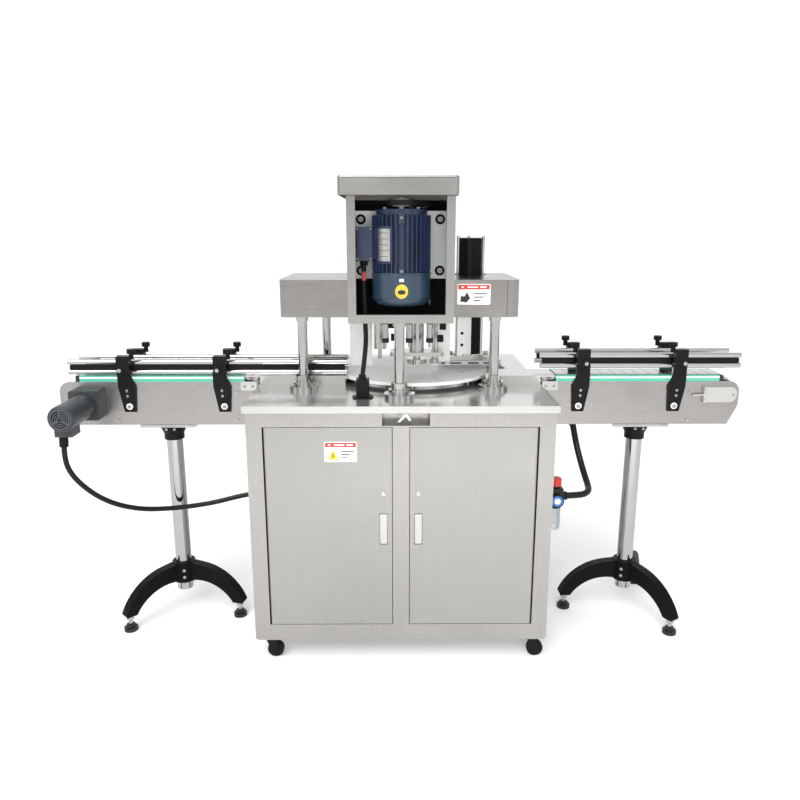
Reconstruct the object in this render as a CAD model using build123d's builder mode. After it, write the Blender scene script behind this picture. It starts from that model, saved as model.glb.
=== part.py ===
from build123d import *
import os
from math import cos, pi, radians, sin, tan

# Rotary capping machine: a stainless cabinet on castors carries a turntable, a lid seaming head
# with its motor on four columns, a lid magazine, and an infeed and an outfeed conveyor on tripods.
# Millimetres, +Z up, front towards -Y, origin on the floor under the middle of the machine.

os.makedirs("parts", exist_ok=True)

# ---- driving dimensions -------------------------------------------------------------------------
DECK_WIDTH = 900
DECK_DEPTH = 860
DECK_TOP = 810
DECK_LIP = 20
DECK_SHEET = 8
LIP_SHEET = 3
FRONT_Y = -DECK_DEPTH / 2
WELD_GAP = 0.1
TOUCH_GAP = 0.3
RUN_SHARE = 0.45
HEXAGON = 6
CLEARANCE = 0.05
SHEET = 2

CABINET_HALF_WIDTH = 442
CABINET_HALF_DEPTH = 420
CABINET_BOTTOM = 78
POST_SIZE = 46
TUBE_WALL = 3
TOP_RAIL_HEIGHT = 55
BOTTOM_RAIL_HEIGHT = 49

TABLE_X = 45
TABLE_Y = -13
TABLE_RADIUS = 246
TABLE_TOP = DECK_TOP + 30

LANE_Y = -88
LANE_HALF_WIDTH = 57
CHAIN_HALF_WIDTH = 42
CONVEYOR_END = 1085
CONVEYOR_START = 452
PLATE_BOTTOM = DECK_TOP - 130
PLATE_TOP = DECK_TOP + 11
PLATE_THICKNESS = 3

CASING_BOTTOM = DECK_TOP + 226
CASING_TOP = DECK_TOP + 337
SPINDLE_X = 53
SPINDLE_Y = LANE_Y
MOTOR_X = 2
MOTOR_Y = FRONT_Y + 150
BELT_Z = DECK_TOP + 546
SIDES = {"left": -1, "right": 1}


# ---- helpers ------------------------------------------------------------------------------------
def block(x_range, y_range, z_range, mode=Mode.ADD):
    """A box between two opposite corners, in the part being built."""
    width = x_range[1] - x_range[0]
    depth = y_range[1] - y_range[0]
    with BuildSketch(Plane.XY.offset(z_range[0])) as outline:
        with Locations((x_range[0] + width / 2, y_range[0] + depth / 2)):
            Rectangle(width, depth)
    extrude(outline.sketch, amount=z_range[1] - z_range[0], mode=mode)


def rounded_block(x_range, y_range, z_range, corner, mode=Mode.ADD):
    """A box with rounded upright edges, in the part being built."""
    width = x_range[1] - x_range[0]
    depth = y_range[1] - y_range[0]
    with BuildSketch(Plane.XY.offset(z_range[0])) as outline:
        with Locations((x_range[0] + width / 2, y_range[0] + depth / 2)):
            RectangleRounded(width, depth, corner)
    extrude(outline.sketch, amount=z_range[1] - z_range[0], mode=mode)


def rod(start, end, radius, mode=Mode.ADD):
    """A round bar from one point to another, in the part being built."""
    run = Vector(*end) - Vector(*start)
    with BuildSketch(Plane(origin=start, z_dir=run.normalized())) as outline:
        Circle(radius)
    extrude(outline.sketch, amount=run.length, mode=mode)


def upright(x, y, z_range, radius, mode=Mode.ADD):
    """A vertical round bar, in the part being built."""
    rod((x, y, z_range[0]), (x, y, z_range[1]), radius, mode)


def hexagon_head(start, end, radius):
    """A hexagon bolt head from one point to another, in the part being built."""
    run = Vector(*end) - Vector(*start)
    with BuildSketch(Plane(origin=start, z_dir=run.normalized())) as outline:
        RegularPolygon(radius, HEXAGON)
    extrude(outline.sketch, amount=run.length)


def cord_tube(name, route, radius):
    """A cord along straight runs joined by arcs as large as the runs allow."""
    points = [Vector(*point) for point in route]
    runs = [after - before for before, after in zip(points, points[1:])]
    corner_radii = []
    for before, after in zip(runs, runs[1:]):
        half_turn = radians(before.get_angle(after)) / 2
        corner_radii.append(RUN_SHARE * min(before.length, after.length) / tan(half_turn))
    with BuildPart() as tube:
        with BuildLine() as path:
            FilletPolyline(*points, radius=corner_radii)
        with BuildSketch(Plane(origin=points[0], z_dir=runs[0].normalized())):
            Circle(radius)
        sweep(path=path.wires()[0])
    length = path.wires()[0].length
    expected = pi * radius**2 * length
    print(name, "radii", [round(value) for value in corner_radii], "length", round(length))
    print(name, "volume", round(tube.part.volume), "expected", round(expected))
    return tube


# ---- cabinet frame: welded square tube, with the castor plates under its corners ----------------
post_x = CABINET_HALF_WIDTH - POST_SIZE / 2
post_y = CABINET_HALF_DEPTH - POST_SIZE / 2
inner_x = CABINET_HALF_WIDTH - POST_SIZE
inner_y = CABINET_HALF_DEPTH - POST_SIZE
frame_top = DECK_TOP - DECK_SHEET - WELD_GAP
top_rail = (frame_top - TOP_RAIL_HEIGHT, frame_top)
bottom_rail = (CABINET_BOTTOM, CABINET_BOTTOM + BOTTOM_RAIL_HEIGHT)
STILE_HALF_WIDTH = 24
SLOT_X = (-54, 82)
SLOT_DEPTH = 30
SLOT_HEIGHT = 37
CASTOR_PLATE = 70
CASTOR_PLATE_THICKNESS = 5
CASTOR_X = 402
CASTOR_Y = 382
KINGPIN_RADIUS = 5

with BuildPart() as cabinet_frame:
    post_wall = POST_SIZE / 2 - TUBE_WALL
    for x in (-post_x, post_x):
        for y in (-post_y, post_y):
            block((x - POST_SIZE / 2, x + POST_SIZE / 2), (y - POST_SIZE / 2, y + POST_SIZE / 2),
                  (CABINET_BOTTOM, frame_top))
            block((x - post_wall, x + post_wall), (y - post_wall, y + post_wall),
                  (CABINET_BOTTOM, frame_top), mode=Mode.SUBTRACT)
    rail_x = (-inner_x + WELD_GAP, inner_x - WELD_GAP)
    rail_y = (-inner_y + WELD_GAP, inner_y - WELD_GAP)
    for z_range in (top_rail, bottom_rail):
        hollow_z = (z_range[0] + TUBE_WALL, z_range[1] - TUBE_WALL)
        for side in SIDES.values():
            across = sorted((side * CABINET_HALF_DEPTH, side * inner_y))
            block(rail_x, across, z_range)
            block(rail_x, (across[0] + TUBE_WALL, across[1] - TUBE_WALL), hollow_z, mode=Mode.SUBTRACT)
            along = sorted((side * CABINET_HALF_WIDTH, side * inner_x))
            block(along, rail_y, z_range)
            block((along[0] + TUBE_WALL, along[1] - TUBE_WALL), rail_y, hollow_z, mode=Mode.SUBTRACT)
    block((-STILE_HALF_WIDTH, STILE_HALF_WIDTH), (-CABINET_HALF_DEPTH, -inner_y),
          (bottom_rail[1] + WELD_GAP, top_rail[0] - WELD_GAP))
    slot_top = DECK_TOP - DECK_LIP - 2
    block(SLOT_X, (-CABINET_HALF_DEPTH, -CABINET_HALF_DEPTH + SLOT_DEPTH),
          (slot_top - SLOT_HEIGHT, slot_top), mode=Mode.SUBTRACT)
    for x in (-CASTOR_X, CASTOR_X):
        for y in (-CASTOR_Y, CASTOR_Y):
            half_plate = CASTOR_PLATE / 2
            plate_top = CABINET_BOTTOM - WELD_GAP
            block((x - half_plate, x + half_plate), (y - half_plate, y + half_plate),
                  (plate_top - CASTOR_PLATE_THICKNESS, plate_top))
            upright(x, y, (plate_top - CASTOR_PLATE_THICKNESS, plate_top), KINGPIN_RADIUS + CLEARANCE,
                    mode=Mode.SUBTRACT)
cabinet_frame.part.label = "cabinet_frame"
export_step(cabinet_frame.part, "parts/cabinet_frame.step")


# ---- cabinet panels: side, rear and floor sheets set into the frame -----------------------------
PANEL_SETBACK = 3

with BuildPart() as cabinet_panels:
    panel_z = (bottom_rail[1] + WELD_GAP, top_rail[0] - WELD_GAP)
    for side in SIDES.values():
        outer = side * (CABINET_HALF_WIDTH - PANEL_SETBACK)
        block(sorted((outer, outer - side * SHEET)), rail_y, panel_z)
    block(rail_x, (CABINET_HALF_DEPTH - PANEL_SETBACK - SHEET, CABINET_HALF_DEPTH - PANEL_SETBACK), panel_z)
    floor_z = (CABINET_BOTTOM + TUBE_WALL, CABINET_BOTTOM + TUBE_WALL + SHEET)
    block(rail_x, rail_y, floor_z)
cabinet_panels.part.label = "cabinet_panels"
export_step(cabinet_panels.part, "parts/cabinet_panels.step")


# ---- deck plate: thick stainless top with folded lips and the drive shaft opening ---------------
SHAFT_OPENING_RADIUS = 60

with BuildPart() as deck_plate:
    block((-DECK_WIDTH / 2, DECK_WIDTH / 2), (FRONT_Y, -FRONT_Y), (DECK_TOP - DECK_LIP, DECK_TOP))
    block((-DECK_WIDTH / 2 + LIP_SHEET, DECK_WIDTH / 2 - LIP_SHEET),
          (FRONT_Y + LIP_SHEET, -FRONT_Y - LIP_SHEET),
          (DECK_TOP - DECK_LIP, DECK_TOP - DECK_SHEET), mode=Mode.SUBTRACT)
    upright(TABLE_X, TABLE_Y, (DECK_TOP - DECK_SHEET, DECK_TOP), SHAFT_OPENING_RADIUS, mode=Mode.SUBTRACT)
    fillet(deck_plate.edges().filter_by(Axis.Z).group_by(Axis.X)[0], radius=2)
    fillet(deck_plate.edges().filter_by(Axis.Z).group_by(Axis.X)[-1], radius=2)
deck_plate.part.label = "deck_plate"
export_step(deck_plate.part, "parts/deck_plate.step")


# ---- doors: folded pans hung on pivot pins at their outer front corners -------------------------
DOOR_INNER_X = 26
DOOR_OUTER_X = 394
DOOR_THICKNESS = 20
DOOR_GAP = 1.5
PIVOT_INSET = 8
PIVOT_RADIUS = 3
PIVOT_LENGTH = 12
door_z = (bottom_rail[1] + DOOR_GAP, top_rail[0] - DOOR_GAP)
pivot_x = DOOR_OUTER_X - PIVOT_INSET
pivot_y = -CABINET_HALF_DEPTH + PIVOT_INSET
HANDLE_X = 51
HANDLE_Z = (390, 483)
HANDLE_HALF_WIDTH = 10
HANDLE_THICKNESS = 6
HANDLE_GAP = 2
HANDLE_PIVOT_Z = 476
HANDLE_PIVOT_DEPTH = 5
HANDLE_PIN_RADIUS = 1.5
HANDLE_PIN_REACH = 4
HANDLE_CORNER = 3
HANDLE_NUB_RADIUS = 4
HANDLE_NUB_LENGTH = 3
HANDLE_NUB_DROP = 3
LATCH_DISH_DEPTH = 12

with BuildPart() as door_hinge_pins:
    for side in SIDES.values():
        upright(side * pivot_x, pivot_y, (top_rail[0] - PIVOT_LENGTH, top_rail[0]), PIVOT_RADIUS)
        upright(side * pivot_x, pivot_y, (bottom_rail[1], bottom_rail[1] + PIVOT_LENGTH), PIVOT_RADIUS)
door_hinge_pins.part.label = "door_hinge_pins"
export_step(door_hinge_pins.part, "parts/door_hinge_pins.step")


def make_door(side):
    """One inset door: pan, dished latch pocket and pivot holes."""
    front = -CABINET_HALF_DEPTH
    back = front + DOOR_THICKNESS
    with BuildPart() as door:
        block(sorted((side * DOOR_INNER_X, side * DOOR_OUTER_X)), (front, back), door_z)
        corner = door.edges().filter_by(Axis.Z).group_by(Axis.Y)[0]
        fillet(corner.sort_by(Axis.X)[0 if side < 0 else -1], radius=PIVOT_INSET)
        block(sorted((side * (DOOR_INNER_X + SHEET), side * (DOOR_OUTER_X - 2 * PIVOT_INSET))),
              (front + SHEET, back), (door_z[0] + SHEET, door_z[1] - SHEET), mode=Mode.SUBTRACT)
        dish_half = HANDLE_HALF_WIDTH + HANDLE_PIN_REACH + SHEET
        block((side * HANDLE_X - dish_half, side * HANDLE_X + dish_half),
              (front, front + LATCH_DISH_DEPTH + SHEET),
              (HANDLE_Z[0] - HANDLE_GAP - SHEET, HANDLE_Z[1] + HANDLE_GAP + SHEET))
        pocket_half = HANDLE_HALF_WIDTH + HANDLE_GAP
        block((side * HANDLE_X - pocket_half, side * HANDLE_X + pocket_half),
              (front, front + LATCH_DISH_DEPTH),
              (HANDLE_Z[0] - HANDLE_GAP, HANDLE_Z[1] + HANDLE_GAP), mode=Mode.SUBTRACT)
        pin_half = HANDLE_HALF_WIDTH + HANDLE_PIN_REACH + CLEARANCE
        rod((side * HANDLE_X - pin_half, front + HANDLE_PIVOT_DEPTH, HANDLE_PIVOT_Z),
            (side * HANDLE_X + pin_half, front + HANDLE_PIVOT_DEPTH, HANDLE_PIVOT_Z),
            HANDLE_PIN_RADIUS + CLEARANCE, mode=Mode.SUBTRACT)
        for z_range in ((door_z[1] - PIVOT_LENGTH, door_z[1]), (door_z[0], door_z[0] + PIVOT_LENGTH)):
            upright(side * pivot_x, pivot_y, z_range, PIVOT_RADIUS + CLEARANCE, mode=Mode.SUBTRACT)
    return door


def make_handle(side):
    """One flush lever with its cross pin, lying in the dish of a door."""
    front = -CABINET_HALF_DEPTH
    with BuildPart() as handle:
        block((side * HANDLE_X - HANDLE_HALF_WIDTH, side * HANDLE_X + HANDLE_HALF_WIDTH),
              (front, front + HANDLE_THICKNESS), HANDLE_Z)
        fillet(handle.edges().filter_by(Axis.Y), radius=HANDLE_CORNER)
        nub_z = HANDLE_PIVOT_Z - HANDLE_NUB_DROP
        rod((side * HANDLE_X, front + HANDLE_THICKNESS, nub_z),
            (side * HANDLE_X, front + HANDLE_THICKNESS + HANDLE_NUB_LENGTH, nub_z), HANDLE_NUB_RADIUS)
        pin_half = HANDLE_HALF_WIDTH + HANDLE_PIN_REACH
        rod((side * HANDLE_X - pin_half, front + HANDLE_PIVOT_DEPTH, HANDLE_PIVOT_Z),
            (side * HANDLE_X + pin_half, front + HANDLE_PIVOT_DEPTH, HANDLE_PIVOT_Z), HANDLE_PIN_RADIUS)
    return handle


left_door = make_door(SIDES["left"])
left_door.part.label = "left_door"
export_step(left_door.part, "parts/left_door.step")
right_door = make_door(SIDES["right"])
right_door.part.label = "right_door"
export_step(right_door.part, "parts/right_door.step")
left_handle = make_handle(SIDES["left"])
left_handle.part.label = "left_door_handle"
export_step(left_handle.part, "parts/left_door_handle.step")
right_handle = make_handle(SIDES["right"])
right_handle.part.label = "right_door_handle"
export_step(right_handle.part, "parts/right_door_handle.step")


# ---- castors: swivelling forks, each with a wheel on its own axle -------------------------------
WHEEL_RADIUS = 25
WHEEL_HALF_WIDTH = 10
FORK_TRAIL = 14
FORK_HALF_WIDTH = 16
FORK_CHEEK = 2.5
AXLE_RADIUS = 4
FORK_CROWN_HALF = 17
FORK_TIP_HALF = 9
FORK_TIP_DROP = 6
FORK_CROWN_THICKNESS = 4
FORK_SPACE = (-40, 60)
TYRE_EDGE = 3
fork_top = CABINET_BOTTOM - WELD_GAP - CASTOR_PLATE_THICKNESS - TOUCH_GAP


def make_fork(x, y):
    """One castor fork with its kingpin, trailing to the right."""
    axle_x = x + FORK_TRAIL
    with BuildPart() as fork:
        with BuildSketch(Plane.XZ.offset(-y - FORK_HALF_WIDTH)):
            with BuildLine():
                Polyline((x - FORK_CROWN_HALF, fork_top), (x + FORK_CROWN_HALF, fork_top),
                         (axle_x + FORK_TIP_HALF, WHEEL_RADIUS - FORK_TIP_DROP),
                         (axle_x - FORK_TIP_HALF, WHEEL_RADIUS - FORK_TIP_DROP), close=True)
            make_face()
        extrude(amount=2 * FORK_HALF_WIDTH)
        cheek = FORK_HALF_WIDTH - FORK_CHEEK
        block((x + FORK_SPACE[0], x + FORK_SPACE[1]), (y - cheek, y + cheek),
              (0, fork_top - FORK_CROWN_THICKNESS),
              mode=Mode.SUBTRACT)
        upright(x, y, (fork_top - FORK_CROWN_THICKNESS, CABINET_BOTTOM - WELD_GAP), KINGPIN_RADIUS)
        rod((axle_x, y - FORK_HALF_WIDTH, WHEEL_RADIUS), (axle_x, y + FORK_HALF_WIDTH, WHEEL_RADIUS),
            AXLE_RADIUS)
    return fork


def make_wheel(x, y):
    """One castor wheel with rounded tread and axle bore."""
    axle_x = x + FORK_TRAIL
    with BuildPart() as wheel:
        rod((axle_x, y - WHEEL_HALF_WIDTH, WHEEL_RADIUS), (axle_x, y + WHEEL_HALF_WIDTH, WHEEL_RADIUS),
            WHEEL_RADIUS)
        fillet(wheel.edges().filter_by(GeomType.CIRCLE), radius=TYRE_EDGE)
        rod((axle_x, y - WHEEL_HALF_WIDTH, WHEEL_RADIUS), (axle_x, y + WHEEL_HALF_WIDTH, WHEEL_RADIUS),
            AXLE_RADIUS + CLEARANCE, mode=Mode.SUBTRACT)
    return wheel


CASTOR_PLACES = {
    "front_left": (-CASTOR_X, -CASTOR_Y),
    "front_right": (CASTOR_X, -CASTOR_Y),
    "rear_left": (-CASTOR_X, CASTOR_Y),
    "rear_right": (CASTOR_X, CASTOR_Y),
}
for place, (castor_x, castor_y) in CASTOR_PLACES.items():
    castor_fork = make_fork(castor_x, castor_y)
    castor_fork.part.label = f"{place}_castor_fork"
    export_step(castor_fork.part, f"parts/{place}_castor_fork.step")
    castor_wheel = make_wheel(castor_x, castor_y)
    castor_wheel.part.label = f"{place}_castor_wheel"
    export_step(castor_wheel.part, f"parts/{place}_castor_wheel.step")


# ---- table base: round foot, thin rim wall and its stiffening posts -----------------------------
FOOT_RADIUS = 254
RIM_RADIUS = 236
RIM_WALL = 4
FOOT_HEIGHT = 4
RIM_TOP = TABLE_TOP - 12
RIM_POSTS = 16
RIM_POST_RADIUS = 4

with BuildPart() as table_base:
    upright(TABLE_X, TABLE_Y, (DECK_TOP, DECK_TOP + FOOT_HEIGHT), FOOT_RADIUS)
    upright(TABLE_X, TABLE_Y, (DECK_TOP + FOOT_HEIGHT, RIM_TOP), RIM_RADIUS)
    with BuildSketch(Plane.XY.offset(DECK_TOP + FOOT_HEIGHT)):
        with Locations((TABLE_X, TABLE_Y)):
            with PolarLocations(RIM_RADIUS, RIM_POSTS):
                Circle(RIM_POST_RADIUS)
    extrude(amount=RIM_TOP - DECK_TOP - FOOT_HEIGHT)
    upright(TABLE_X, TABLE_Y, (DECK_TOP, RIM_TOP), RIM_RADIUS - RIM_WALL - RIM_POST_RADIUS,
            mode=Mode.SUBTRACT)
table_base.part.label = "table_base"
export_step(table_base.part, "parts/table_base.step")


# ---- turntable: can-carrying disc with its hub and drive shaft ----------------------------------
DISC_THICKNESS = 10
HUB_RADIUS = 52
HUB_BOTTOM = DECK_TOP - 4
TABLE_SHAFT_RADIUS = 20
TABLE_SHAFT_BOTTOM = 610
SCREW_CIRCLE = 150
SCREW_HOLES = 6
SCREW_HOLE_RADIUS = 6
SCREW_HOLE_DEPTH = 4
DISC_EDGE = 2

with BuildPart() as turntable:
    upright(TABLE_X, TABLE_Y, (TABLE_TOP - DISC_THICKNESS, TABLE_TOP), TABLE_RADIUS)
    fillet(turntable.edges().group_by(Axis.Z)[-1], radius=DISC_EDGE)
    with BuildSketch(Plane.XY.offset(TABLE_TOP)):
        with Locations((TABLE_X, TABLE_Y)):
            with PolarLocations(SCREW_CIRCLE, SCREW_HOLES):
                Circle(SCREW_HOLE_RADIUS)
    extrude(amount=-SCREW_HOLE_DEPTH, mode=Mode.SUBTRACT)
    upright(TABLE_X, TABLE_Y, (HUB_BOTTOM, TABLE_TOP - DISC_THICKNESS), HUB_RADIUS)
    upright(TABLE_X, TABLE_Y, (TABLE_SHAFT_BOTTOM, HUB_BOTTOM), TABLE_SHAFT_RADIUS)
turntable.part.label = "turntable"
export_step(turntable.part, "parts/turntable.step")


# ---- drive gearbox: indexing reducer hung under the deck ----------------------------------------
GEARBOX_HALF = 90
GEARBOX_Z = (590, 720)
GEARBOX_NECK_RADIUS = 50
GEARBOX_FLANGE = 110
GEARBOX_FLANGE_THICKNESS = 10
GEARBOX_CORNER = 14
GEARBOX_SHAFT_GAP = 5

with BuildPart() as drive_gearbox:
    block((TABLE_X - GEARBOX_HALF, TABLE_X + GEARBOX_HALF), (TABLE_Y - GEARBOX_HALF, TABLE_Y + GEARBOX_HALF),
          GEARBOX_Z)
    fillet(drive_gearbox.edges().filter_by(Axis.Z), radius=GEARBOX_CORNER)
    gearbox_top = DECK_TOP - DECK_SHEET
    upright(TABLE_X, TABLE_Y, (GEARBOX_Z[1], gearbox_top - GEARBOX_FLANGE_THICKNESS), GEARBOX_NECK_RADIUS)
    upright(TABLE_X, TABLE_Y, (gearbox_top - GEARBOX_FLANGE_THICKNESS, gearbox_top), GEARBOX_FLANGE)
    upright(TABLE_X, TABLE_Y, (TABLE_SHAFT_BOTTOM - GEARBOX_SHAFT_GAP, gearbox_top),
            TABLE_SHAFT_RADIUS + CLEARANCE,
            mode=Mode.SUBTRACT)
drive_gearbox.part.label = "drive_gearbox"
export_step(drive_gearbox.part, "parts/drive_gearbox.step")


# ---- columns: turned stainless posts with two-tier foot flanges and top collars -----------------
COLUMN_RADIUS = 15
COLUMN_FLANGE_RADIUS = 46
COLUMN_FLANGE_HEIGHT = 12
COLUMN_TIER_RADIUS = 32
COLUMN_BOSS_RADIUS = 25
COLUMN_BOSS_TOP = DECK_TOP + 43
COLUMN_COLLAR_RADIUS = 19
COLUMN_COLLAR_HEIGHT = 14
COLUMN_BOLTS = 4
COLUMN_PLACES = [(-4, -310), (-300, -193), (289, -193), (-250, 60), (330, 88)]
FRAME_DROP = 2
FRONT_COLUMN_LIMIT = -200

with BuildPart() as columns:
    for x, y in COLUMN_PLACES:
        upright(x, y, (DECK_TOP, DECK_TOP + COLUMN_FLANGE_HEIGHT), COLUMN_FLANGE_RADIUS)
        upright(x, y, (DECK_TOP + COLUMN_FLANGE_HEIGHT, DECK_TOP + 2 * COLUMN_FLANGE_HEIGHT),
                COLUMN_TIER_RADIUS)
        upright(x, y, (DECK_TOP, COLUMN_BOSS_TOP), COLUMN_BOSS_RADIUS)
        column_top = CASING_BOTTOM - (FRAME_DROP if y < FRONT_COLUMN_LIMIT else 0) - WELD_GAP
        upright(x, y, (DECK_TOP, column_top), COLUMN_RADIUS)
        upright(x, y, (column_top - COLUMN_COLLAR_HEIGHT, column_top), COLUMN_COLLAR_RADIUS)
columns.part.label = "columns"
export_step(columns.part, "parts/columns.step")


# ---- bridge casing: folded stainless box with rounded ends, notched for the motor frame ---------
CASING_X = (-363, 357)
CASING_Y = (FRONT_Y + 200, FRONT_Y + 545)
CASING_CORNER = 26
CASING_SHEET = 3
SPINDLE_TUBE_RADIUS = 45
MAGAZINE_X = 231
MAGAZINE_Y = 40
MAGAZINE_OPENING = 56
FRAME_X = (-150, 150)
FRAME_Y = (FRONT_Y + 72, FRONT_Y + 262)
NOTCH_GAP = 0.2

with BuildPart() as bridge_casing:
    rounded_block(CASING_X, CASING_Y, (CASING_BOTTOM, CASING_TOP), CASING_CORNER)
    rounded_block((CASING_X[0] + CASING_SHEET, CASING_X[1] - CASING_SHEET),
                  (CASING_Y[0] + CASING_SHEET, CASING_Y[1] - CASING_SHEET),
                  (CASING_BOTTOM + CASING_SHEET, CASING_TOP - CASING_SHEET),
                  CASING_CORNER - CASING_SHEET, mode=Mode.SUBTRACT)
    notch_wall = CASING_SHEET + NOTCH_GAP
    block((FRAME_X[0] - notch_wall, FRAME_X[1] + notch_wall), (CASING_Y[0], FRAME_Y[1] + notch_wall),
          (CASING_BOTTOM, CASING_TOP))
    block((FRAME_X[0] - NOTCH_GAP, FRAME_X[1] + NOTCH_GAP), (CASING_Y[0], FRAME_Y[1] + NOTCH_GAP),
          (CASING_BOTTOM, CASING_TOP), mode=Mode.SUBTRACT)
    upright(SPINDLE_X, SPINDLE_Y, (CASING_BOTTOM, CASING_TOP), SPINDLE_TUBE_RADIUS + WELD_GAP,
            mode=Mode.SUBTRACT)
    upright(MAGAZINE_X, MAGAZINE_Y, (CASING_BOTTOM, CASING_TOP), MAGAZINE_OPENING, mode=Mode.SUBTRACT)
bridge_casing.part.label = "bridge_casing"
export_step(bridge_casing.part, "parts/bridge_casing.step")


# ---- motor frame: open stainless box that stands on the front column, in the casing's notch -----
FRAME_Z = (DECK_TOP + 224, DECK_TOP + 574)
FRAME_WALL = 24
FRAME_SHEET = 3
GUARD_BACK = FRONT_Y + 458
guard_z = (CASING_TOP + WELD_GAP, FRAME_Z[1])
PLATE_DEPTH = 10
CONDUIT_X = -106
CONDUIT_Y = FRONT_Y + 144
CONDUIT_OPENING = 14

with BuildPart() as motor_frame:
    block(FRAME_X, FRAME_Y, FRAME_Z)
    block((FRAME_X[0] + FRAME_SHEET, FRAME_X[1] - FRAME_SHEET), (FRAME_Y[0] + FRAME_WALL, FRAME_Y[1]),
          (FRAME_Z[0] + FRAME_SHEET, FRAME_Z[1]), mode=Mode.SUBTRACT)
    block((FRAME_X[0] + FRAME_WALL, FRAME_X[1] - FRAME_WALL), FRAME_Y,
          (FRAME_Z[0] + FRAME_WALL, FRAME_Z[1]), mode=Mode.SUBTRACT)
    upright(CONDUIT_X, CONDUIT_Y, FRAME_Z, CONDUIT_OPENING, mode=Mode.SUBTRACT)
    for guard_x in ((FRAME_X[0], FRAME_X[0] + FRAME_SHEET), (FRAME_X[1] - FRAME_SHEET, FRAME_X[1])):
        block(guard_x, (FRAME_Y[1], GUARD_BACK), guard_z)
    block(FRAME_X, (GUARD_BACK - FRAME_SHEET, GUARD_BACK), guard_z)
motor_frame.part.label = "motor_frame"
export_step(motor_frame.part, "parts/motor_frame.step")


# ---- top cap: belt guard lid reaching from the motor frame back over the spindle ----------------
CAP_X = (-172, 158)
CAP_Y = (FRONT_Y + 50, FRONT_Y + 460)
CAP_Z = (DECK_TOP + 574 + WELD_GAP, DECK_TOP + 625)
CAP_CORNER = 12
CAP_ROOF = 5

with BuildPart() as top_cap:
    rounded_block(CAP_X, CAP_Y, CAP_Z, CAP_CORNER)
    fillet(top_cap.edges().group_by(Axis.Z)[-1], radius=CAP_ROOF)
    rounded_block((CAP_X[0] + CASING_SHEET, CAP_X[1] - CASING_SHEET),
                  (CAP_Y[0] + CASING_SHEET, CAP_Y[1] - CASING_SHEET),
                  (CAP_Z[0], CAP_Z[1] - CAP_ROOF), CAP_CORNER - CASING_SHEET, mode=Mode.SUBTRACT)
top_cap.part.label = "top_cap"
export_step(top_cap.part, "parts/top_cap.step")


# ---- motor plate: upright adjusting plate that the motor's feet are bolted to -------------------
MOTOR_PLATE_Z = (DECK_TOP + 338, DECK_TOP + 536)
PLATE_SETBACK = 6
PLATE_EDGE = 2
motor_plate_y = (FRAME_Y[1] - PLATE_DEPTH - PLATE_SETBACK, FRAME_Y[1] - PLATE_SETBACK)

with BuildPart() as motor_plate:
    block((FRAME_X[0] + FRAME_SHEET + WELD_GAP, FRAME_X[1] - FRAME_SHEET - WELD_GAP), motor_plate_y,
          MOTOR_PLATE_Z)
    fillet(motor_plate.edges().filter_by(Axis.Y), radius=PLATE_EDGE)
motor_plate.part.label = "motor_plate"
export_step(motor_plate.part, "parts/motor_plate.step")


# ---- motor body: finned stator housing with end shields, feet and terminal box ------------------
MOTOR_RADIUS = 70
FIN_RADIUS = 84
FIN_COUNT = 36
FIN_HALF_THICKNESS = 1.6
MOTOR_Z = (DECK_TOP + 364, DECK_TOP + 524)
SHIELD_TOP = DECK_TOP + 538
MOTOR_FOOT_X = 62
SHAFT_RADIUS = 12
TERMINAL_X = (-126, -82)
TERMINAL_Z = (DECK_TOP + 399, DECK_TOP + 487)
TERMINAL_Y = (MOTOR_Y - 34, MOTOR_Y + 24)
TERMINAL_NECK_INSET = 8
FIN_END_GAP = 2
SHIELD_GROWTH = 4
LOWER_SHIELD = 6
MOTOR_FOOT_HALF_WIDTH = 16
MOTOR_FOOT_START = MOTOR_Y + 50
MOTOR_FOOT_INSET = 20

with BuildPart() as motor_body:
    upright(MOTOR_X, MOTOR_Y, MOTOR_Z, MOTOR_RADIUS)
    with BuildSketch(Plane.XY.offset(MOTOR_Z[0] + FIN_END_GAP)):
        with Locations((MOTOR_X, MOTOR_Y)):
            with PolarLocations(FIN_RADIUS / 2, FIN_COUNT):
                Rectangle(FIN_RADIUS, 2 * FIN_HALF_THICKNESS)
    extrude(amount=MOTOR_Z[1] - MOTOR_Z[0] - 2 * FIN_END_GAP)
    upright(MOTOR_X, MOTOR_Y, (MOTOR_Z[1], SHIELD_TOP), MOTOR_RADIUS + SHIELD_GROWTH)
    upright(MOTOR_X, MOTOR_Y, (MOTOR_Z[0] - LOWER_SHIELD, MOTOR_Z[0]), MOTOR_RADIUS)
    for x in (MOTOR_X - MOTOR_FOOT_X, MOTOR_X + MOTOR_FOOT_X):
        block((x - MOTOR_FOOT_HALF_WIDTH, x + MOTOR_FOOT_HALF_WIDTH),
              (MOTOR_FOOT_START, motor_plate_y[0] - WELD_GAP),
              (MOTOR_Z[0] + MOTOR_FOOT_INSET, MOTOR_Z[1] - MOTOR_FOOT_INSET))
    block(TERMINAL_X, TERMINAL_Y, TERMINAL_Z)
    block((TERMINAL_X[1], MOTOR_X), (TERMINAL_Y[0] + TERMINAL_NECK_INSET,
                                     TERMINAL_Y[1] - TERMINAL_NECK_INSET),
          (TERMINAL_Z[0] + TERMINAL_NECK_INSET, TERMINAL_Z[1] - TERMINAL_NECK_INSET))
    upright(MOTOR_X, MOTOR_Y, (MOTOR_Z[0] - LOWER_SHIELD, SHIELD_TOP), SHAFT_RADIUS + CLEARANCE,
            mode=Mode.SUBTRACT)
motor_body.part.label = "motor_body"
export_step(motor_body.part, "parts/motor_body.step")


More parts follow.
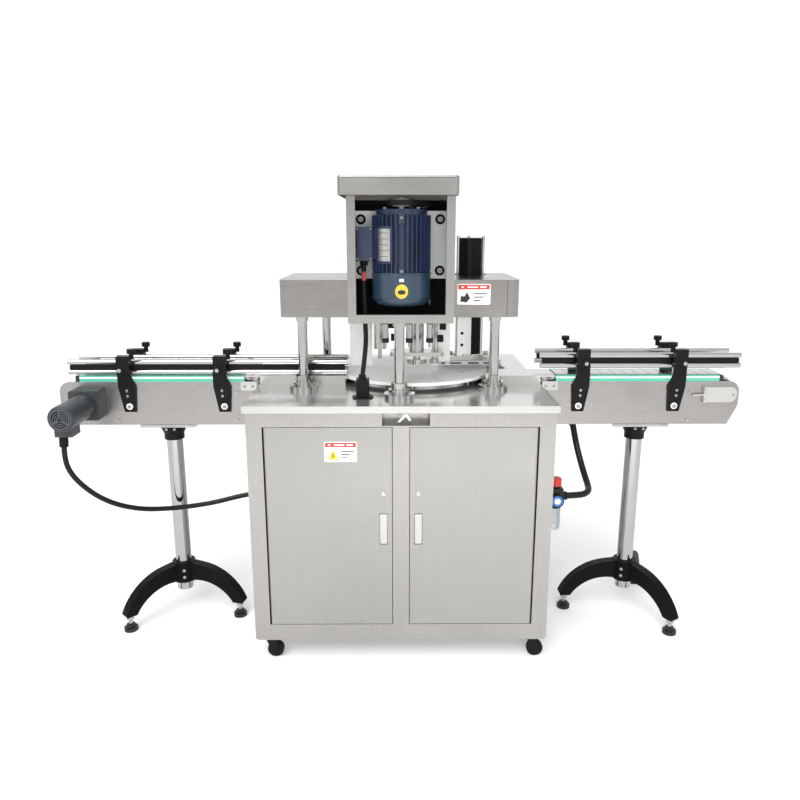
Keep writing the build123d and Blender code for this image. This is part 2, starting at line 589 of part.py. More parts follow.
# ---- fan cover: deep-drawn bowl over the fan at the lower end of the motor ----------------------
FAN_COVER_RADIUS = 85
FAN_COVER_Z = (DECK_TOP + 270, DECK_TOP + 364)
FAN_COVER_WALL = 3
BOWL_CORNER = 26
BOWL_FLOOR_INSET = 24
BOWL_DEPTH = 60
VENT_CIRCLE = 36
VENT_COUNT = 12
VENT_LENGTH = 24
VENT_WIDTH = 6
STAY_HALF = 6
STAY_NOTCH_X = (MOTOR_X + 60, MOTOR_X + 90)
STAY_X = (MOTOR_X + 80, MOTOR_X + 84)

with BuildPart() as fan_cover:
    upright(MOTOR_X, MOTOR_Y, FAN_COVER_Z, FAN_COVER_RADIUS)
    fillet(fan_cover.edges().group_by(Axis.Z)[0], radius=BOWL_CORNER)
    upright(MOTOR_X, MOTOR_Y, (FAN_COVER_Z[0] + FAN_COVER_WALL, FAN_COVER_Z[1]),
            FAN_COVER_RADIUS - BOWL_FLOOR_INSET, mode=Mode.SUBTRACT)
    upright(MOTOR_X, MOTOR_Y, (FAN_COVER_Z[1] - BOWL_DEPTH, FAN_COVER_Z[1]),
            FAN_COVER_RADIUS - FAN_COVER_WALL, mode=Mode.SUBTRACT)
    with BuildSketch(Plane.XY.offset(FAN_COVER_Z[0])):
        with Locations((MOTOR_X, MOTOR_Y)):
            with PolarLocations(VENT_CIRCLE, VENT_COUNT):
                SlotCenterToCenter(VENT_LENGTH, VENT_WIDTH)
    extrude(amount=FAN_COVER_WALL, mode=Mode.SUBTRACT)
    block(STAY_NOTCH_X, (MOTOR_Y - STAY_HALF, MOTOR_Y + STAY_HALF), FAN_COVER_Z, mode=Mode.SUBTRACT)
    block(STAY_X, (MOTOR_Y - STAY_HALF, MOTOR_Y + STAY_HALF), FAN_COVER_Z)
fan_cover.part.label = "fan_cover"
export_step(fan_cover.part, "parts/fan_cover.step")


# ---- motor rotor: shaft with the cooling fan below and the drive pulley on top ------------------
MOTOR_PULLEY_RADIUS = 38
SPINDLE_PULLEY_RADIUS = 60
PULLEY_HEIGHT = 20
SHAFT_TIP = 4
FAN_RADIUS = 54
FAN_Z = (FAN_COVER_Z[0] + 30, FAN_COVER_Z[0] + 40)

with BuildPart() as motor_rotor:
    upright(MOTOR_X, MOTOR_Y, (FAN_Z[0], BELT_Z + PULLEY_HEIGHT + SHAFT_TIP), SHAFT_RADIUS)
    upright(MOTOR_X, MOTOR_Y, FAN_Z, FAN_RADIUS)
    upright(MOTOR_X, MOTOR_Y, (BELT_Z, BELT_Z + PULLEY_HEIGHT), MOTOR_PULLEY_RADIUS)
motor_rotor.part.label = "motor_rotor"
export_step(motor_rotor.part, "parts/motor_rotor.step")


# ---- drive belt: one flat loop round both pulleys -----------------------------------------------
BELT_THICKNESS = 5
BELT_GAP = 0.4
BELT_EDGE = 2

with BuildPart() as drive_belt:
    for grow, belt_mode in ((BELT_GAP + BELT_THICKNESS, Mode.ADD), (BELT_GAP, Mode.SUBTRACT)):
        with BuildSketch(Plane.XY.offset(BELT_Z + BELT_EDGE)):
            with Locations((MOTOR_X, MOTOR_Y)):
                Circle(MOTOR_PULLEY_RADIUS + grow)
            with Locations((SPINDLE_X, SPINDLE_Y)):
                Circle(SPINDLE_PULLEY_RADIUS + grow)
            make_hull()
        extrude(amount=PULLEY_HEIGHT - 2 * BELT_EDGE, mode=belt_mode)
drive_belt.part.label = "drive_belt"
export_step(drive_belt.part, "parts/drive_belt.step")


# ---- seaming spindle: driven pulley, long shaft and the chuck that enters the lid ---------------
SPINDLE_RADIUS = 12
CHUCK_RADIUS = 33
CHUCK_Z = (DECK_TOP + 62, DECK_TOP + 76)

with BuildPart() as seaming_spindle:
    upright(SPINDLE_X, SPINDLE_Y, (CHUCK_Z[0], BELT_Z + PULLEY_HEIGHT + SHAFT_TIP), SPINDLE_RADIUS)
    upright(SPINDLE_X, SPINDLE_Y, CHUCK_Z, CHUCK_RADIUS)
    upright(SPINDLE_X, SPINDLE_Y, (BELT_Z, BELT_Z + PULLEY_HEIGHT), SPINDLE_PULLEY_RADIUS)
seaming_spindle.part.label = "seaming_spindle"
export_step(seaming_spindle.part, "parts/seaming_spindle.step")


# ---- seaming head: bearing tube, hanger rods, roller carrier, lid cylinder and side plates ------
TUBE_TOP = BELT_Z - 10
HEAD_FLANGE_RADIUS = 78
HEAD_FLANGE_Z = (CASING_BOTTOM - 12, CASING_BOTTOM - WELD_GAP)
NOSE_RADIUS = 24
CARRIER_Z = (DECK_TOP + 88, DECK_TOP + 100)
CARRIER_X = (SPINDLE_X - 86, SPINDLE_X + 86)
CARRIER_Y = (SPINDLE_Y - 32, SPINDLE_Y + 50)
HANGER_X = 62
HANGER_Y = SPINDLE_Y + 6
HANGER_RADIUS = 8
ARM_PIVOT_X = 70
ARM_PIVOT_Y = SPINDLE_Y + 32
ARM_PIN_RADIUS = 5
LID_CYLINDER_X = -66
LID_CYLINDER_RADIUS = 20
HEAD_PLATE_Y = (FRONT_Y + 404, FRONT_Y + 410)
HEAD_PLATE_X = ((-166, -92), (104, 166))
HEAD_PLATE_Z = (DECK_TOP + 42, CASING_BOTTOM - WELD_GAP)
CARRIER_CORNER = 14
LID_ROD_RADIUS = 6
lid_rod_top = CARRIER_Z[1] + 8

with BuildPart() as seaming_head:
    upright(SPINDLE_X, SPINDLE_Y, (HEAD_FLANGE_Z[0], TUBE_TOP), SPINDLE_TUBE_RADIUS)
    upright(SPINDLE_X, SPINDLE_Y, HEAD_FLANGE_Z, HEAD_FLANGE_RADIUS)
    upright(SPINDLE_X, SPINDLE_Y, (CARRIER_Z[1], HEAD_FLANGE_Z[0]), NOSE_RADIUS)
    rounded_block(CARRIER_X, CARRIER_Y, CARRIER_Z, CARRIER_CORNER)
    for side in SIDES.values():
        upright(SPINDLE_X + side * HANGER_X, HANGER_Y, (CARRIER_Z[1], HEAD_FLANGE_Z[0]), HANGER_RADIUS)
        upright(SPINDLE_X + side * ARM_PIVOT_X, ARM_PIVOT_Y, CARRIER_Z, ARM_PIN_RADIUS + CLEARANCE,
                mode=Mode.SUBTRACT)
    upright(SPINDLE_X, SPINDLE_Y, (CARRIER_Z[0], TUBE_TOP), SPINDLE_RADIUS + CLEARANCE, mode=Mode.SUBTRACT)
    upright(LID_CYLINDER_X, HANGER_Y, (lid_rod_top, CASING_BOTTOM - WELD_GAP), LID_CYLINDER_RADIUS)
    upright(LID_CYLINDER_X, HANGER_Y, (CHUCK_Z[1], lid_rod_top), LID_ROD_RADIUS)
    for plate_x in HEAD_PLATE_X:
        block(plate_x, HEAD_PLATE_Y, HEAD_PLATE_Z)
seaming_head.part.label = "seaming_head"
export_step(seaming_head.part, "parts/seaming_head.step")


# ---- roller arms: swing levers with a seaming roller each, on pins in the carrier ---------------
ARM_Z = (CARRIER_Z[0] - 7.5, CARRIER_Z[0] - 0.5)
ARM_HALF_WIDTH = 10
ROLLER_X = 57
ROLLER_Y = SPINDLE_Y - 8
ROLLER_RADIUS = 14
ARM_PIN_TIP = 3
ROLLER_PIN_RADIUS = 5


def make_roller_arm(side):
    """One swing lever: pin at the rear, roller beside the chuck."""
    pivot = Vector(SPINDLE_X + side * ARM_PIVOT_X, ARM_PIVOT_Y)
    roller = Vector(SPINDLE_X + side * ROLLER_X, ROLLER_Y)
    with BuildPart() as arm:
        with BuildSketch(Plane.XY.offset(ARM_Z[0])):
            with Locations(pivot, roller):
                Circle(ARM_HALF_WIDTH)
            make_hull()
        extrude(amount=ARM_Z[1] - ARM_Z[0])
        upright(pivot.X, pivot.Y, (ARM_Z[1], CARRIER_Z[1] + ARM_PIN_TIP), ARM_PIN_RADIUS)
        upright(roller.X, roller.Y, CHUCK_Z, ROLLER_RADIUS)
        upright(roller.X, roller.Y, (CHUCK_Z[0], ARM_Z[0]), ROLLER_PIN_RADIUS)
    return arm


left_roller_arm = make_roller_arm(SIDES["left"])
left_roller_arm.part.label = "left_roller_arm"
export_step(left_roller_arm.part, "parts/left_roller_arm.step")
right_roller_arm = make_roller_arm(SIDES["right"])
right_roller_arm.part.label = "right_roller_arm"
export_step(right_roller_arm.part, "parts/right_roller_arm.step")


# ---- lid magazine: feeder base, its rails, ring, guide rods and hanger plate --------------------
LID_RADIUS = 41.5
MAGAZINE_RING_RADIUS = 54
MAGAZINE_ROD_RADIUS = 5
MAGAZINE_ROD_CIRCLE = 47.5
FEEDER_X = (135, 308)
FEEDER_Z = (DECK_TOP + 48, DECK_TOP + 56)
FEEDER_HALF_DEPTH = 57
PUSHER_HALF = 43
SLIDE_GAP = 0.4
PUSHER_Z = (FEEDER_Z[1] + SLIDE_GAP, FEEDER_Z[1] + 14)
MAGAZINE_RODS = 3
MAGAZINE_ROD_START = 90
HANGER_PLATE_THICKNESS = 6
STACK_SINK = 4
FEEDER_RAIL_TOP = FEEDER_Z[1] + 14.6
RING_TOP = FEEDER_RAIL_TOP + 5
STACK_TOP = DECK_TOP + 461
HANGER_PLATE_X = (197, 265)

with BuildPart() as lid_magazine:
    block(FEEDER_X, (MAGAZINE_Y - FEEDER_HALF_DEPTH, MAGAZINE_Y + FEEDER_HALF_DEPTH), FEEDER_Z)
    for side in SIDES.values():
        rail_range = sorted((MAGAZINE_Y + side * (PUSHER_HALF + SLIDE_GAP),
                             MAGAZINE_Y + side * FEEDER_HALF_DEPTH))
        block(FEEDER_X, rail_range, (FEEDER_Z[1], FEEDER_RAIL_TOP))
    upright(MAGAZINE_X, MAGAZINE_Y, (FEEDER_RAIL_TOP, RING_TOP), MAGAZINE_RING_RADIUS)
    with BuildSketch(Plane.XY.offset(RING_TOP)):
        with Locations((MAGAZINE_X, MAGAZINE_Y)):
            with PolarLocations(MAGAZINE_ROD_CIRCLE, MAGAZINE_RODS, start_angle=MAGAZINE_ROD_START):
                Circle(MAGAZINE_ROD_RADIUS)
    extrude(amount=STACK_TOP - RING_TOP)
    upright(MAGAZINE_X, MAGAZINE_Y, (FEEDER_RAIL_TOP, STACK_TOP), LID_RADIUS + SLIDE_GAP, mode=Mode.SUBTRACT)
    hanger_y = MAGAZINE_Y + FEEDER_HALF_DEPTH
    block(HANGER_PLATE_X, (hanger_y, hanger_y + HANGER_PLATE_THICKNESS),
          (FEEDER_Z[0], CASING_BOTTOM - WELD_GAP))
lid_magazine.part.label = "lid_magazine"
export_step(lid_magazine.part, "parts/lid_magazine.step")

with BuildPart() as lid_stack:
    upright(MAGAZINE_X, MAGAZINE_Y, (FEEDER_RAIL_TOP + SLIDE_GAP, STACK_TOP - STACK_SINK), LID_RADIUS)
lid_stack.part.label = "lid_stack"
export_step(lid_stack.part, "parts/lid_stack.step")

with BuildPart() as lid_pusher:
    block((MAGAZINE_X - PUSHER_HALF, MAGAZINE_X + PUSHER_HALF),
          (MAGAZINE_Y - PUSHER_HALF, MAGAZINE_Y + PUSHER_HALF),
          PUSHER_Z)
lid_pusher.part.label = "lid_pusher"
export_step(lid_pusher.part, "parts/lid_pusher.step")


# ---- conveyor side plates: infeed and outfeed channels with spacer bars and inner drums ---------
SPROCKET_Z = TABLE_TOP - 62
SPROCKET_X = {"left": -985, "right": 1012}
DRUM_X = 516
CHAIN_RADIUS = 62
CHAIN_THICKNESS = 8
SHAFT_HALF_LENGTH = LANE_HALF_WIDTH - 0.3
CONVEYOR_SHAFT_RADIUS = 10
SPACER_RADIUS = 7
TAKE_UP_TRAVEL = 15
SPACER_PLACES = ((600, PLATE_BOTTOM + 16), (760, PLATE_BOTTOM + 16), (905, PLATE_BOTTOM + 16))
lane_front = LANE_Y - LANE_HALF_WIDTH
lane_back = LANE_Y + LANE_HALF_WIDTH
NOSE_CUT = 30
NOSE_RISE = 62
NOSE_CORNER = 34
DRUM_HALF_LENGTH = 40

with BuildPart() as conveyor_side_plates:
    for name, side in SIDES.items():
        for plate_y in (lane_front, lane_back - PLATE_THICKNESS):
            with BuildSketch(Plane.XZ.offset(-plate_y)) as plate_outline:
                with BuildLine():
                    Polyline((side * CONVEYOR_START, PLATE_BOTTOM),
                             (side * (CONVEYOR_END - NOSE_CUT), PLATE_BOTTOM),
                             (side * CONVEYOR_END, PLATE_BOTTOM + NOSE_RISE), (side * CONVEYOR_END,
                                                                               PLATE_TOP),
                             (side * CONVEYOR_START, PLATE_TOP), (side * CONVEYOR_START, PLATE_BOTTOM))
                make_face()
                outer_corners = plate_outline.vertices().group_by(Axis.X)[0 if side < 0 else -1]
                fillet(outer_corners, radius=NOSE_CORNER)
            extrude(amount=-PLATE_THICKNESS)
        for shaft_x in (SPROCKET_X[name], side * DRUM_X):
            rod((shaft_x, lane_front, SPROCKET_Z), (shaft_x, lane_back, SPROCKET_Z),
                CONVEYOR_SHAFT_RADIUS + CLEARANCE, mode=Mode.SUBTRACT)
        if name == "right":
            block((SPROCKET_X[name] - TAKE_UP_TRAVEL - CONVEYOR_SHAFT_RADIUS, SPROCKET_X[name]),
                  (lane_front, lane_back),
                  (SPROCKET_Z - CONVEYOR_SHAFT_RADIUS - CLEARANCE,
                   SPROCKET_Z + CONVEYOR_SHAFT_RADIUS + CLEARANCE),
                  mode=Mode.SUBTRACT)
        inside = LANE_HALF_WIDTH - PLATE_THICKNESS - WELD_GAP
        for spacer_x, spacer_z in SPACER_PLACES:
            rod((side * spacer_x, LANE_Y - inside, spacer_z), (side * spacer_x, LANE_Y + inside, spacer_z),
                SPACER_RADIUS)
        rod((side * DRUM_X, LANE_Y - SHAFT_HALF_LENGTH, SPROCKET_Z),
            (side * DRUM_X, LANE_Y + SHAFT_HALF_LENGTH, SPROCKET_Z), CONVEYOR_SHAFT_RADIUS)
        rod((side * DRUM_X, LANE_Y - DRUM_HALF_LENGTH, SPROCKET_Z),
            (side * DRUM_X, LANE_Y + DRUM_HALF_LENGTH, SPROCKET_Z),
            CHAIN_RADIUS - CHAIN_THICKNESS - TOUCH_GAP)
conveyor_side_plates.part.label = "conveyor_side_plates"
export_step(conveyor_side_plates.part, "parts/conveyor_side_plates.step")


# ---- conveyor chains: slat-top loops round the outer sprockets and the inner drums --------------
with BuildPart() as conveyor_chains:
    for name, side in SIDES.items():
        centre_x = (SPROCKET_X[name] + side * DRUM_X) / 2
        reach = abs(SPROCKET_X[name] - side * DRUM_X)
        chain_plane = Plane(origin=(centre_x, LANE_Y + CHAIN_HALF_WIDTH, SPROCKET_Z), x_dir=(1, 0, 0),
                            z_dir=(0, -1, 0))
        with BuildSketch(chain_plane):
            SlotCenterToCenter(reach, 2 * CHAIN_RADIUS)
            SlotCenterToCenter(reach, 2 * (CHAIN_RADIUS - CHAIN_THICKNESS), mode=Mode.SUBTRACT)
        extrude(amount=2 * CHAIN_HALF_WIDTH)
conveyor_chains.part.label = "conveyor_chains"
export_step(conveyor_chains.part, "parts/conveyor_chains.step")


# ---- wear strips: green plastic edging along both sides of each chain ---------------------------
STRIP_WIDTH = LANE_HALF_WIDTH - CHAIN_HALF_WIDTH - 0.4
STRIP_START = 496
STRIP_END = 1030

with BuildPart() as wear_strips:
    for side in SIDES.values():
        strip_x = sorted((side * STRIP_START, side * STRIP_END))
        block(strip_x, (lane_front, lane_front + STRIP_WIDTH), (PLATE_TOP + WELD_GAP, TABLE_TOP))
        block(strip_x, (lane_back - STRIP_WIDTH, lane_back), (PLATE_TOP + WELD_GAP, TABLE_TOP))
wear_strips.part.label = "wear_strips"
export_step(wear_strips.part, "parts/wear_strips.step")


# ---- transfer plates: low channels that carry cans over the deck to the turntable's rim ---------
TRANSFER_SHEET = 4
TRANSFER_START = 492
TRANSFER_END = 20
SKIRT_INSET = 4
DISC_GAP = 1.5
FOOT_GAP = 2

with BuildPart() as transfer_plates:
    for side in SIDES.values():
        block(sorted((side * TRANSFER_START, side * TRANSFER_END)), (lane_front, lane_back),
              (TABLE_TOP - TRANSFER_SHEET, TABLE_TOP))
        over_deck = sorted((side * (DECK_WIDTH / 2 - SKIRT_INSET), side * TRANSFER_END))
        for skirt_y in ((lane_front, lane_front + TRANSFER_SHEET), (lane_back - TRANSFER_SHEET, lane_back)):
            block(over_deck, skirt_y, (DECK_TOP + WELD_GAP, TABLE_TOP - TRANSFER_SHEET))
    upright(TABLE_X, TABLE_Y, (DECK_TOP, TABLE_TOP), TABLE_RADIUS + DISC_GAP, mode=Mode.SUBTRACT)
    upright(TABLE_X, TABLE_Y, (DECK_TOP, TABLE_TOP - DISC_THICKNESS), FOOT_RADIUS + FOOT_GAP,
            mode=Mode.SUBTRACT)
transfer_plates.part.label = "transfer_plates"
export_step(transfer_plates.part, "parts/transfer_plates.step")


# ---- end sprockets: driven one on the infeed conveyor, idle one on the outfeed conveyor ---------
SPROCKET_HALF_WIDTH = 30
DRIVE_SHAFT_REACH = 30
SPROCKET_GAP = 0.4


def make_sprocket(shaft_x, front_reach):
    """One toothless drum sprocket with its shaft, free in the side plates."""
    with BuildPart() as sprocket:
        rod((shaft_x, LANE_Y - front_reach, SPROCKET_Z), (shaft_x, LANE_Y + SHAFT_HALF_LENGTH, SPROCKET_Z),
            CONVEYOR_SHAFT_RADIUS)
        rod((shaft_x, LANE_Y - SPROCKET_HALF_WIDTH, SPROCKET_Z),
            (shaft_x, LANE_Y + SPROCKET_HALF_WIDTH, SPROCKET_Z),
            CHAIN_RADIUS - CHAIN_THICKNESS - SPROCKET_GAP)
    return sprocket


drive_sprocket = make_sprocket(SPROCKET_X["left"], LANE_HALF_WIDTH + DRIVE_SHAFT_REACH)
drive_sprocket.part.label = "drive_sprocket"
export_step(drive_sprocket.part, "parts/drive_sprocket.step")
idler_sprocket = make_sprocket(SPROCKET_X["right"], SHAFT_HALF_LENGTH)
idler_sprocket.part.label = "idler_sprocket"
export_step(idler_sprocket.part, "parts/idler_sprocket.step")


# ---- conveyor gearbox and gearmotor, hung on the front of the infeed conveyor's outer end -------
DRIVE_X = SPROCKET_X["left"]
DRIVE_MOTOR_Z = SPROCKET_Z - 20
CONVEYOR_BOX_HALF = 47
CONVEYOR_BOX_Y = (lane_front - 62, lane_front - WELD_GAP)
CONVEYOR_BOX_CORNER = 8
CONVEYOR_BOX_BORE = 40
GEARMOTOR_EDGE = 8
GEARMOTOR_RADIUS = 39
GEARMOTOR_END = FRONT_Y + 55
JUNCTION_X = (DRIVE_X - 42, DRIVE_X + 10)
JUNCTION_Y = (FRONT_Y + 100, FRONT_Y + 158)
JUNCTION_Z = (DRIVE_MOTOR_Z - 66, DRIVE_MOTOR_Z - 30)

with BuildPart() as conveyor_gearbox:
    block((DRIVE_X - CONVEYOR_BOX_HALF, DRIVE_X + CONVEYOR_BOX_HALF), CONVEYOR_BOX_Y,
          (DRIVE_MOTOR_Z - CONVEYOR_BOX_HALF, DRIVE_MOTOR_Z + CONVEYOR_BOX_HALF))
    fillet(conveyor_gearbox.edges().filter_by(Axis.Y), radius=CONVEYOR_BOX_CORNER)
    rod((DRIVE_X, lane_front - CONVEYOR_BOX_BORE, SPROCKET_Z), (DRIVE_X, lane_front, SPROCKET_Z),
        CONVEYOR_SHAFT_RADIUS + CLEARANCE, mode=Mode.SUBTRACT)
conveyor_gearbox.part.label = "conveyor_gearbox"
export_step(conveyor_gearbox.part, "parts/conveyor_gearbox.step")

with BuildPart() as gearmotor:
    rod((DRIVE_X, CONVEYOR_BOX_Y[0] - WELD_GAP, DRIVE_MOTOR_Z), (DRIVE_X, GEARMOTOR_END, DRIVE_MOTOR_Z),
        GEARMOTOR_RADIUS)
    fillet(gearmotor.edges().filter_by(GeomType.CIRCLE).sort_by(Axis.Y)[0], radius=GEARMOTOR_EDGE)
    block(JUNCTION_X, JUNCTION_Y, JUNCTION_Z)
gearmotor.part.label = "gearmotor"
export_step(gearmotor.part, "parts/gearmotor.step")


# ---- take-up plate: sliding cover plate with the tension bolt of the outfeed conveyor -----------
TAKE_UP_X = (968, 1077)
TAKE_UP_Z = (SPROCKET_Z - 25, SPROCKET_Z + 25)
TAKE_UP_THICKNESS = 4
TAKE_UP_BOLT_LENGTH = 34
TAKE_UP_GAP = 0.4
TAKE_UP_CORNER = 22
TAKE_UP_LUG = 4
TAKE_UP_LUG_DEPTH = 10
TAKE_UP_BOLT_RADIUS = 3

with BuildPart() as take_up_plate:
    take_up_y = (lane_front - TAKE_UP_THICKNESS - TAKE_UP_GAP, lane_front - TAKE_UP_GAP)
    block(TAKE_UP_X, take_up_y, TAKE_UP_Z)
    fillet(take_up_plate.edges().filter_by(Axis.Y).group_by(Axis.X)[-1], radius=TAKE_UP_CORNER)
    block((TAKE_UP_X[0], TAKE_UP_X[0] + TAKE_UP_LUG), (take_up_y[0] - TAKE_UP_LUG_DEPTH, take_up_y[0]),
          TAKE_UP_Z)
    bolt_y = take_up_y[0] - TAKE_UP_LUG_DEPTH / 2
    rod((TAKE_UP_X[0] - TAKE_UP_BOLT_LENGTH, bolt_y, SPROCKET_Z), (TAKE_UP_X[0], bolt_y, SPROCKET_Z),
        TAKE_UP_BOLT_RADIUS)
take_up_plate.part.label = "take_up_plate"
export_step(take_up_plate.part, "parts/take_up_plate.step")


# ---- guide brackets: tapered plates with clamp heads and locking knobs --------------------------
BRACKET_PLACES = {"left": (-871, -569), "right": (577, 884)}
BRACKET_THICKNESS = 6
BRACKET_BOTTOM = DECK_TOP - 86
BRACKET_SHOULDER = DECK_TOP - 4
BRACKET_NECK = DECK_TOP + 32
BRACKET_OUTLINE = ((-10, BRACKET_BOTTOM), (27, BRACKET_BOTTOM), (32, BRACKET_SHOULDER), (17, BRACKET_NECK))
BRACKET_OUTER = -25
RAIL_LIFT = {"left": 0, "right": 20}
HEAD_REACH = (-18, 22)
HEAD_HEIGHT = 50
HEAD_DEPTH = 26
ROD_Z = DECK_TOP + 57
HEAD_BOTTOM_DROP = 10
GUIDE_ROD_RADIUS = 6
KNOB_OFFSET = 28
KNOB_RISE = 22
KNOB_STEM_RADIUS = 7
KNOB_RADIUS = 13
KNOB_HEIGHT = 14
LEVER_HEIGHT = 10

with BuildPart() as guide_brackets:
    for side, away in SIDES.items():
        head_bottom = ROD_Z + RAIL_LIFT[side] - HEAD_BOTTOM_DROP
        head_top = head_bottom + HEAD_HEIGHT
        for x in BRACKET_PLACES[side]:
            for face, out in ((lane_front, -1), (lane_back, 1)):
                outline = [(x - away * reach, height) for reach, height in BRACKET_OUTLINE]
                outline += [(x - away * BRACKET_OUTLINE[-1][0], head_bottom),
                            (x - away * BRACKET_OUTER, head_bottom),
                            (x - away * BRACKET_OUTER, BRACKET_SHOULDER)]
                with BuildSketch(Plane.XZ.offset(-face - out * WELD_GAP)):
                    with BuildLine():
                        Polyline(*outline, close=True)
                    make_face()
                extrude(amount=-out * BRACKET_THICKNESS)
                head_y = sorted((face + out * WELD_GAP, face + out * HEAD_DEPTH))
                block(sorted((x - away * HEAD_REACH[0], x - away * HEAD_REACH[1])), head_y,
                      (head_bottom, head_top))
                knob_x = x - away * KNOB_OFFSET
                knob_y = face + out * HEAD_DEPTH / 2
                block(sorted((x, knob_x)), head_y, (head_top - LEVER_HEIGHT, head_top))
                upright(knob_x, knob_y, (head_top - LEVER_HEIGHT, head_top + KNOB_RISE), KNOB_STEM_RADIUS)
                upright(knob_x, knob_y, (head_top + KNOB_RISE - KNOB_HEIGHT, head_top + KNOB_RISE),
                        KNOB_RADIUS)
                rod_z = ROD_Z + RAIL_LIFT[side]
                rod((x, face, rod_z), (x, face + out * HEAD_DEPTH, rod_z), GUIDE_ROD_RADIUS + CLEARANCE,
                    mode=Mode.SUBTRACT)
guide_brackets.part.label = "guide_brackets"
export_step(guide_brackets.part, "parts/guide_brackets.step")


# ---- guide rails: paired bars on cross rods that slide through the clamp heads ------------------
RAIL_RADIUS = 8.5
RAIL_HEIGHTS = (DECK_TOP + 41, DECK_TOP + 73)
RAIL_TIE_RADIUS = 6
RAIL_REACH = {"left": (-1054, -170), "right": (444, 1084)}
RAIL_INSET = 12
ROD_TAIL = 64


def make_rail(side, face, out):
    """One guide rail: two bars, their ties and the cross rods."""
    rail_y = face - out * RAIL_INSET
    heights = [height + RAIL_LIFT[side] for height in RAIL_HEIGHTS]
    rod_z = ROD_Z + RAIL_LIFT[side]
    with BuildPart() as rail:
        for z in heights:
            rod((RAIL_REACH[side][0], rail_y, z), (RAIL_REACH[side][1], rail_y, z), RAIL_RADIUS)
        for x in BRACKET_PLACES[side]:
            upright(x, rail_y, heights, RAIL_TIE_RADIUS)
            rod((x, rail_y, rod_z), (x, rail_y + out * ROD_TAIL, rod_z), GUIDE_ROD_RADIUS)
    return rail


for side_name in SIDES:
    for rail_name, rail_face, rail_out in (("front", lane_front, -1), ("rear", lane_back, 1)):
        guide_rail = make_rail(side_name, rail_face, rail_out)
        guide_rail.part.label = f"{side_name}_{rail_name}_guide_rail"
        export_step(guide_rail.part, f"parts/{side_name}_{rail_name}_guide_rail.step")


# ---- conveyor legs: clamp heads, tubes, tripod castings and levelling feet ----------------------
LEG_X = {"left": -748, "right": 778}
LEG_TUBE_RADIUS = 26
LEG_TUBE_WALL = 2
LEG_HEAD_TOP = PLATE_BOTTOM - WELD_GAP
LEG_HEAD_BOTTOM = DECK_TOP - 190
LEG_PLATE_THICKNESS = 8
LEG_PLATE_HALF_LENGTH = 88
LEG_PLATE_HALF_DEPTH = 62
LEG_SOCKET_ROOF = 14
LEG_HEAD_RADII = (46, 44, 32)
LEG_HEAD_BRIM = 16
LEG_HEAD_SLEEVE = 18
HUB_Z = (112, 182)
HUB_OUTER_RADIUS = 38
TUBE_STUB = 82
ARM_HALF_THICKNESS = 16
FOOT_CIRCLE = 205
FOOT_TOP = 52
FOOT_ANGLES = {"left": 225, "right": 301}
ARM_ROOT = 20
ARM_SHOULDER = (70, HUB_Z[1] - 6)
ARM_TOP_MIDDLE = (168, HUB_Z[1] - 46)
ARM_TIP = (FOOT_CIRCLE + 20, FOOT_TOP + 8)
ARM_UNDER_MIDDLE = (135, HUB_Z[0] - 10)
ARM_UNDER_ROOT = (60, HUB_Z[0] + 8)
FOOT_BOSS = (18, 16)
TRIPOD_ARMS = 3
ARM_TURN = 120
ARM_ROOT_RISE = 4
PAD_RADIUS = 22
PAD_NECK_RADIUS = 14
STEM_RADIUS = 7
NUT_RADIUS = 12
PAD_TIERS = (0, 12, 22)
NUT_HEIGHT = 12
plate_bottom = LEG_HEAD_TOP - LEG_PLATE_THICKNESS

with BuildPart() as leg_heads:
    for leg_x in LEG_X.values():
        block((leg_x - LEG_PLATE_HALF_LENGTH, leg_x + LEG_PLATE_HALF_LENGTH),
              (LANE_Y - LEG_PLATE_HALF_DEPTH, LANE_Y + LEG_PLATE_HALF_DEPTH),
              (LEG_HEAD_TOP - LEG_PLATE_THICKNESS, LEG_HEAD_TOP))
        with BuildSketch(Plane.XZ.offset(-LANE_Y)):
            with BuildLine():
                Polyline((leg_x, plate_bottom), (leg_x + LEG_HEAD_RADII[0], plate_bottom),
                         (leg_x + LEG_HEAD_RADII[1], LEG_HEAD_TOP - LEG_HEAD_BRIM),
                         (leg_x + LEG_HEAD_RADII[2], LEG_HEAD_BOTTOM + LEG_HEAD_SLEEVE),
                         (leg_x + LEG_HEAD_RADII[2], LEG_HEAD_BOTTOM), (leg_x, LEG_HEAD_BOTTOM), close=True)
            make_face()
        revolve(axis=Axis((leg_x, LANE_Y, 0), (0, 0, 1)))
        upright(leg_x, LANE_Y, (LEG_HEAD_BOTTOM, LEG_HEAD_TOP - LEG_SOCKET_ROOF), LEG_TUBE_RADIUS + WELD_GAP,
                mode=Mode.SUBTRACT)
leg_heads.part.label = "leg_heads"
export_step(leg_heads.part, "parts/leg_heads.step")

with BuildPart() as leg_tubes:
    for leg_x in LEG_X.values():
        upright(leg_x, LANE_Y, (TUBE_STUB, LEG_HEAD_TOP - LEG_SOCKET_ROOF - WELD_GAP), LEG_TUBE_RADIUS)
        upright(leg_x, LANE_Y, (TUBE_STUB, LEG_HEAD_TOP - LEG_SOCKET_ROOF - WELD_GAP),
                LEG_TUBE_RADIUS - LEG_TUBE_WALL,
                mode=Mode.SUBTRACT)
leg_tubes.part.label = "leg_tubes"
export_step(leg_tubes.part, "parts/leg_tubes.step")

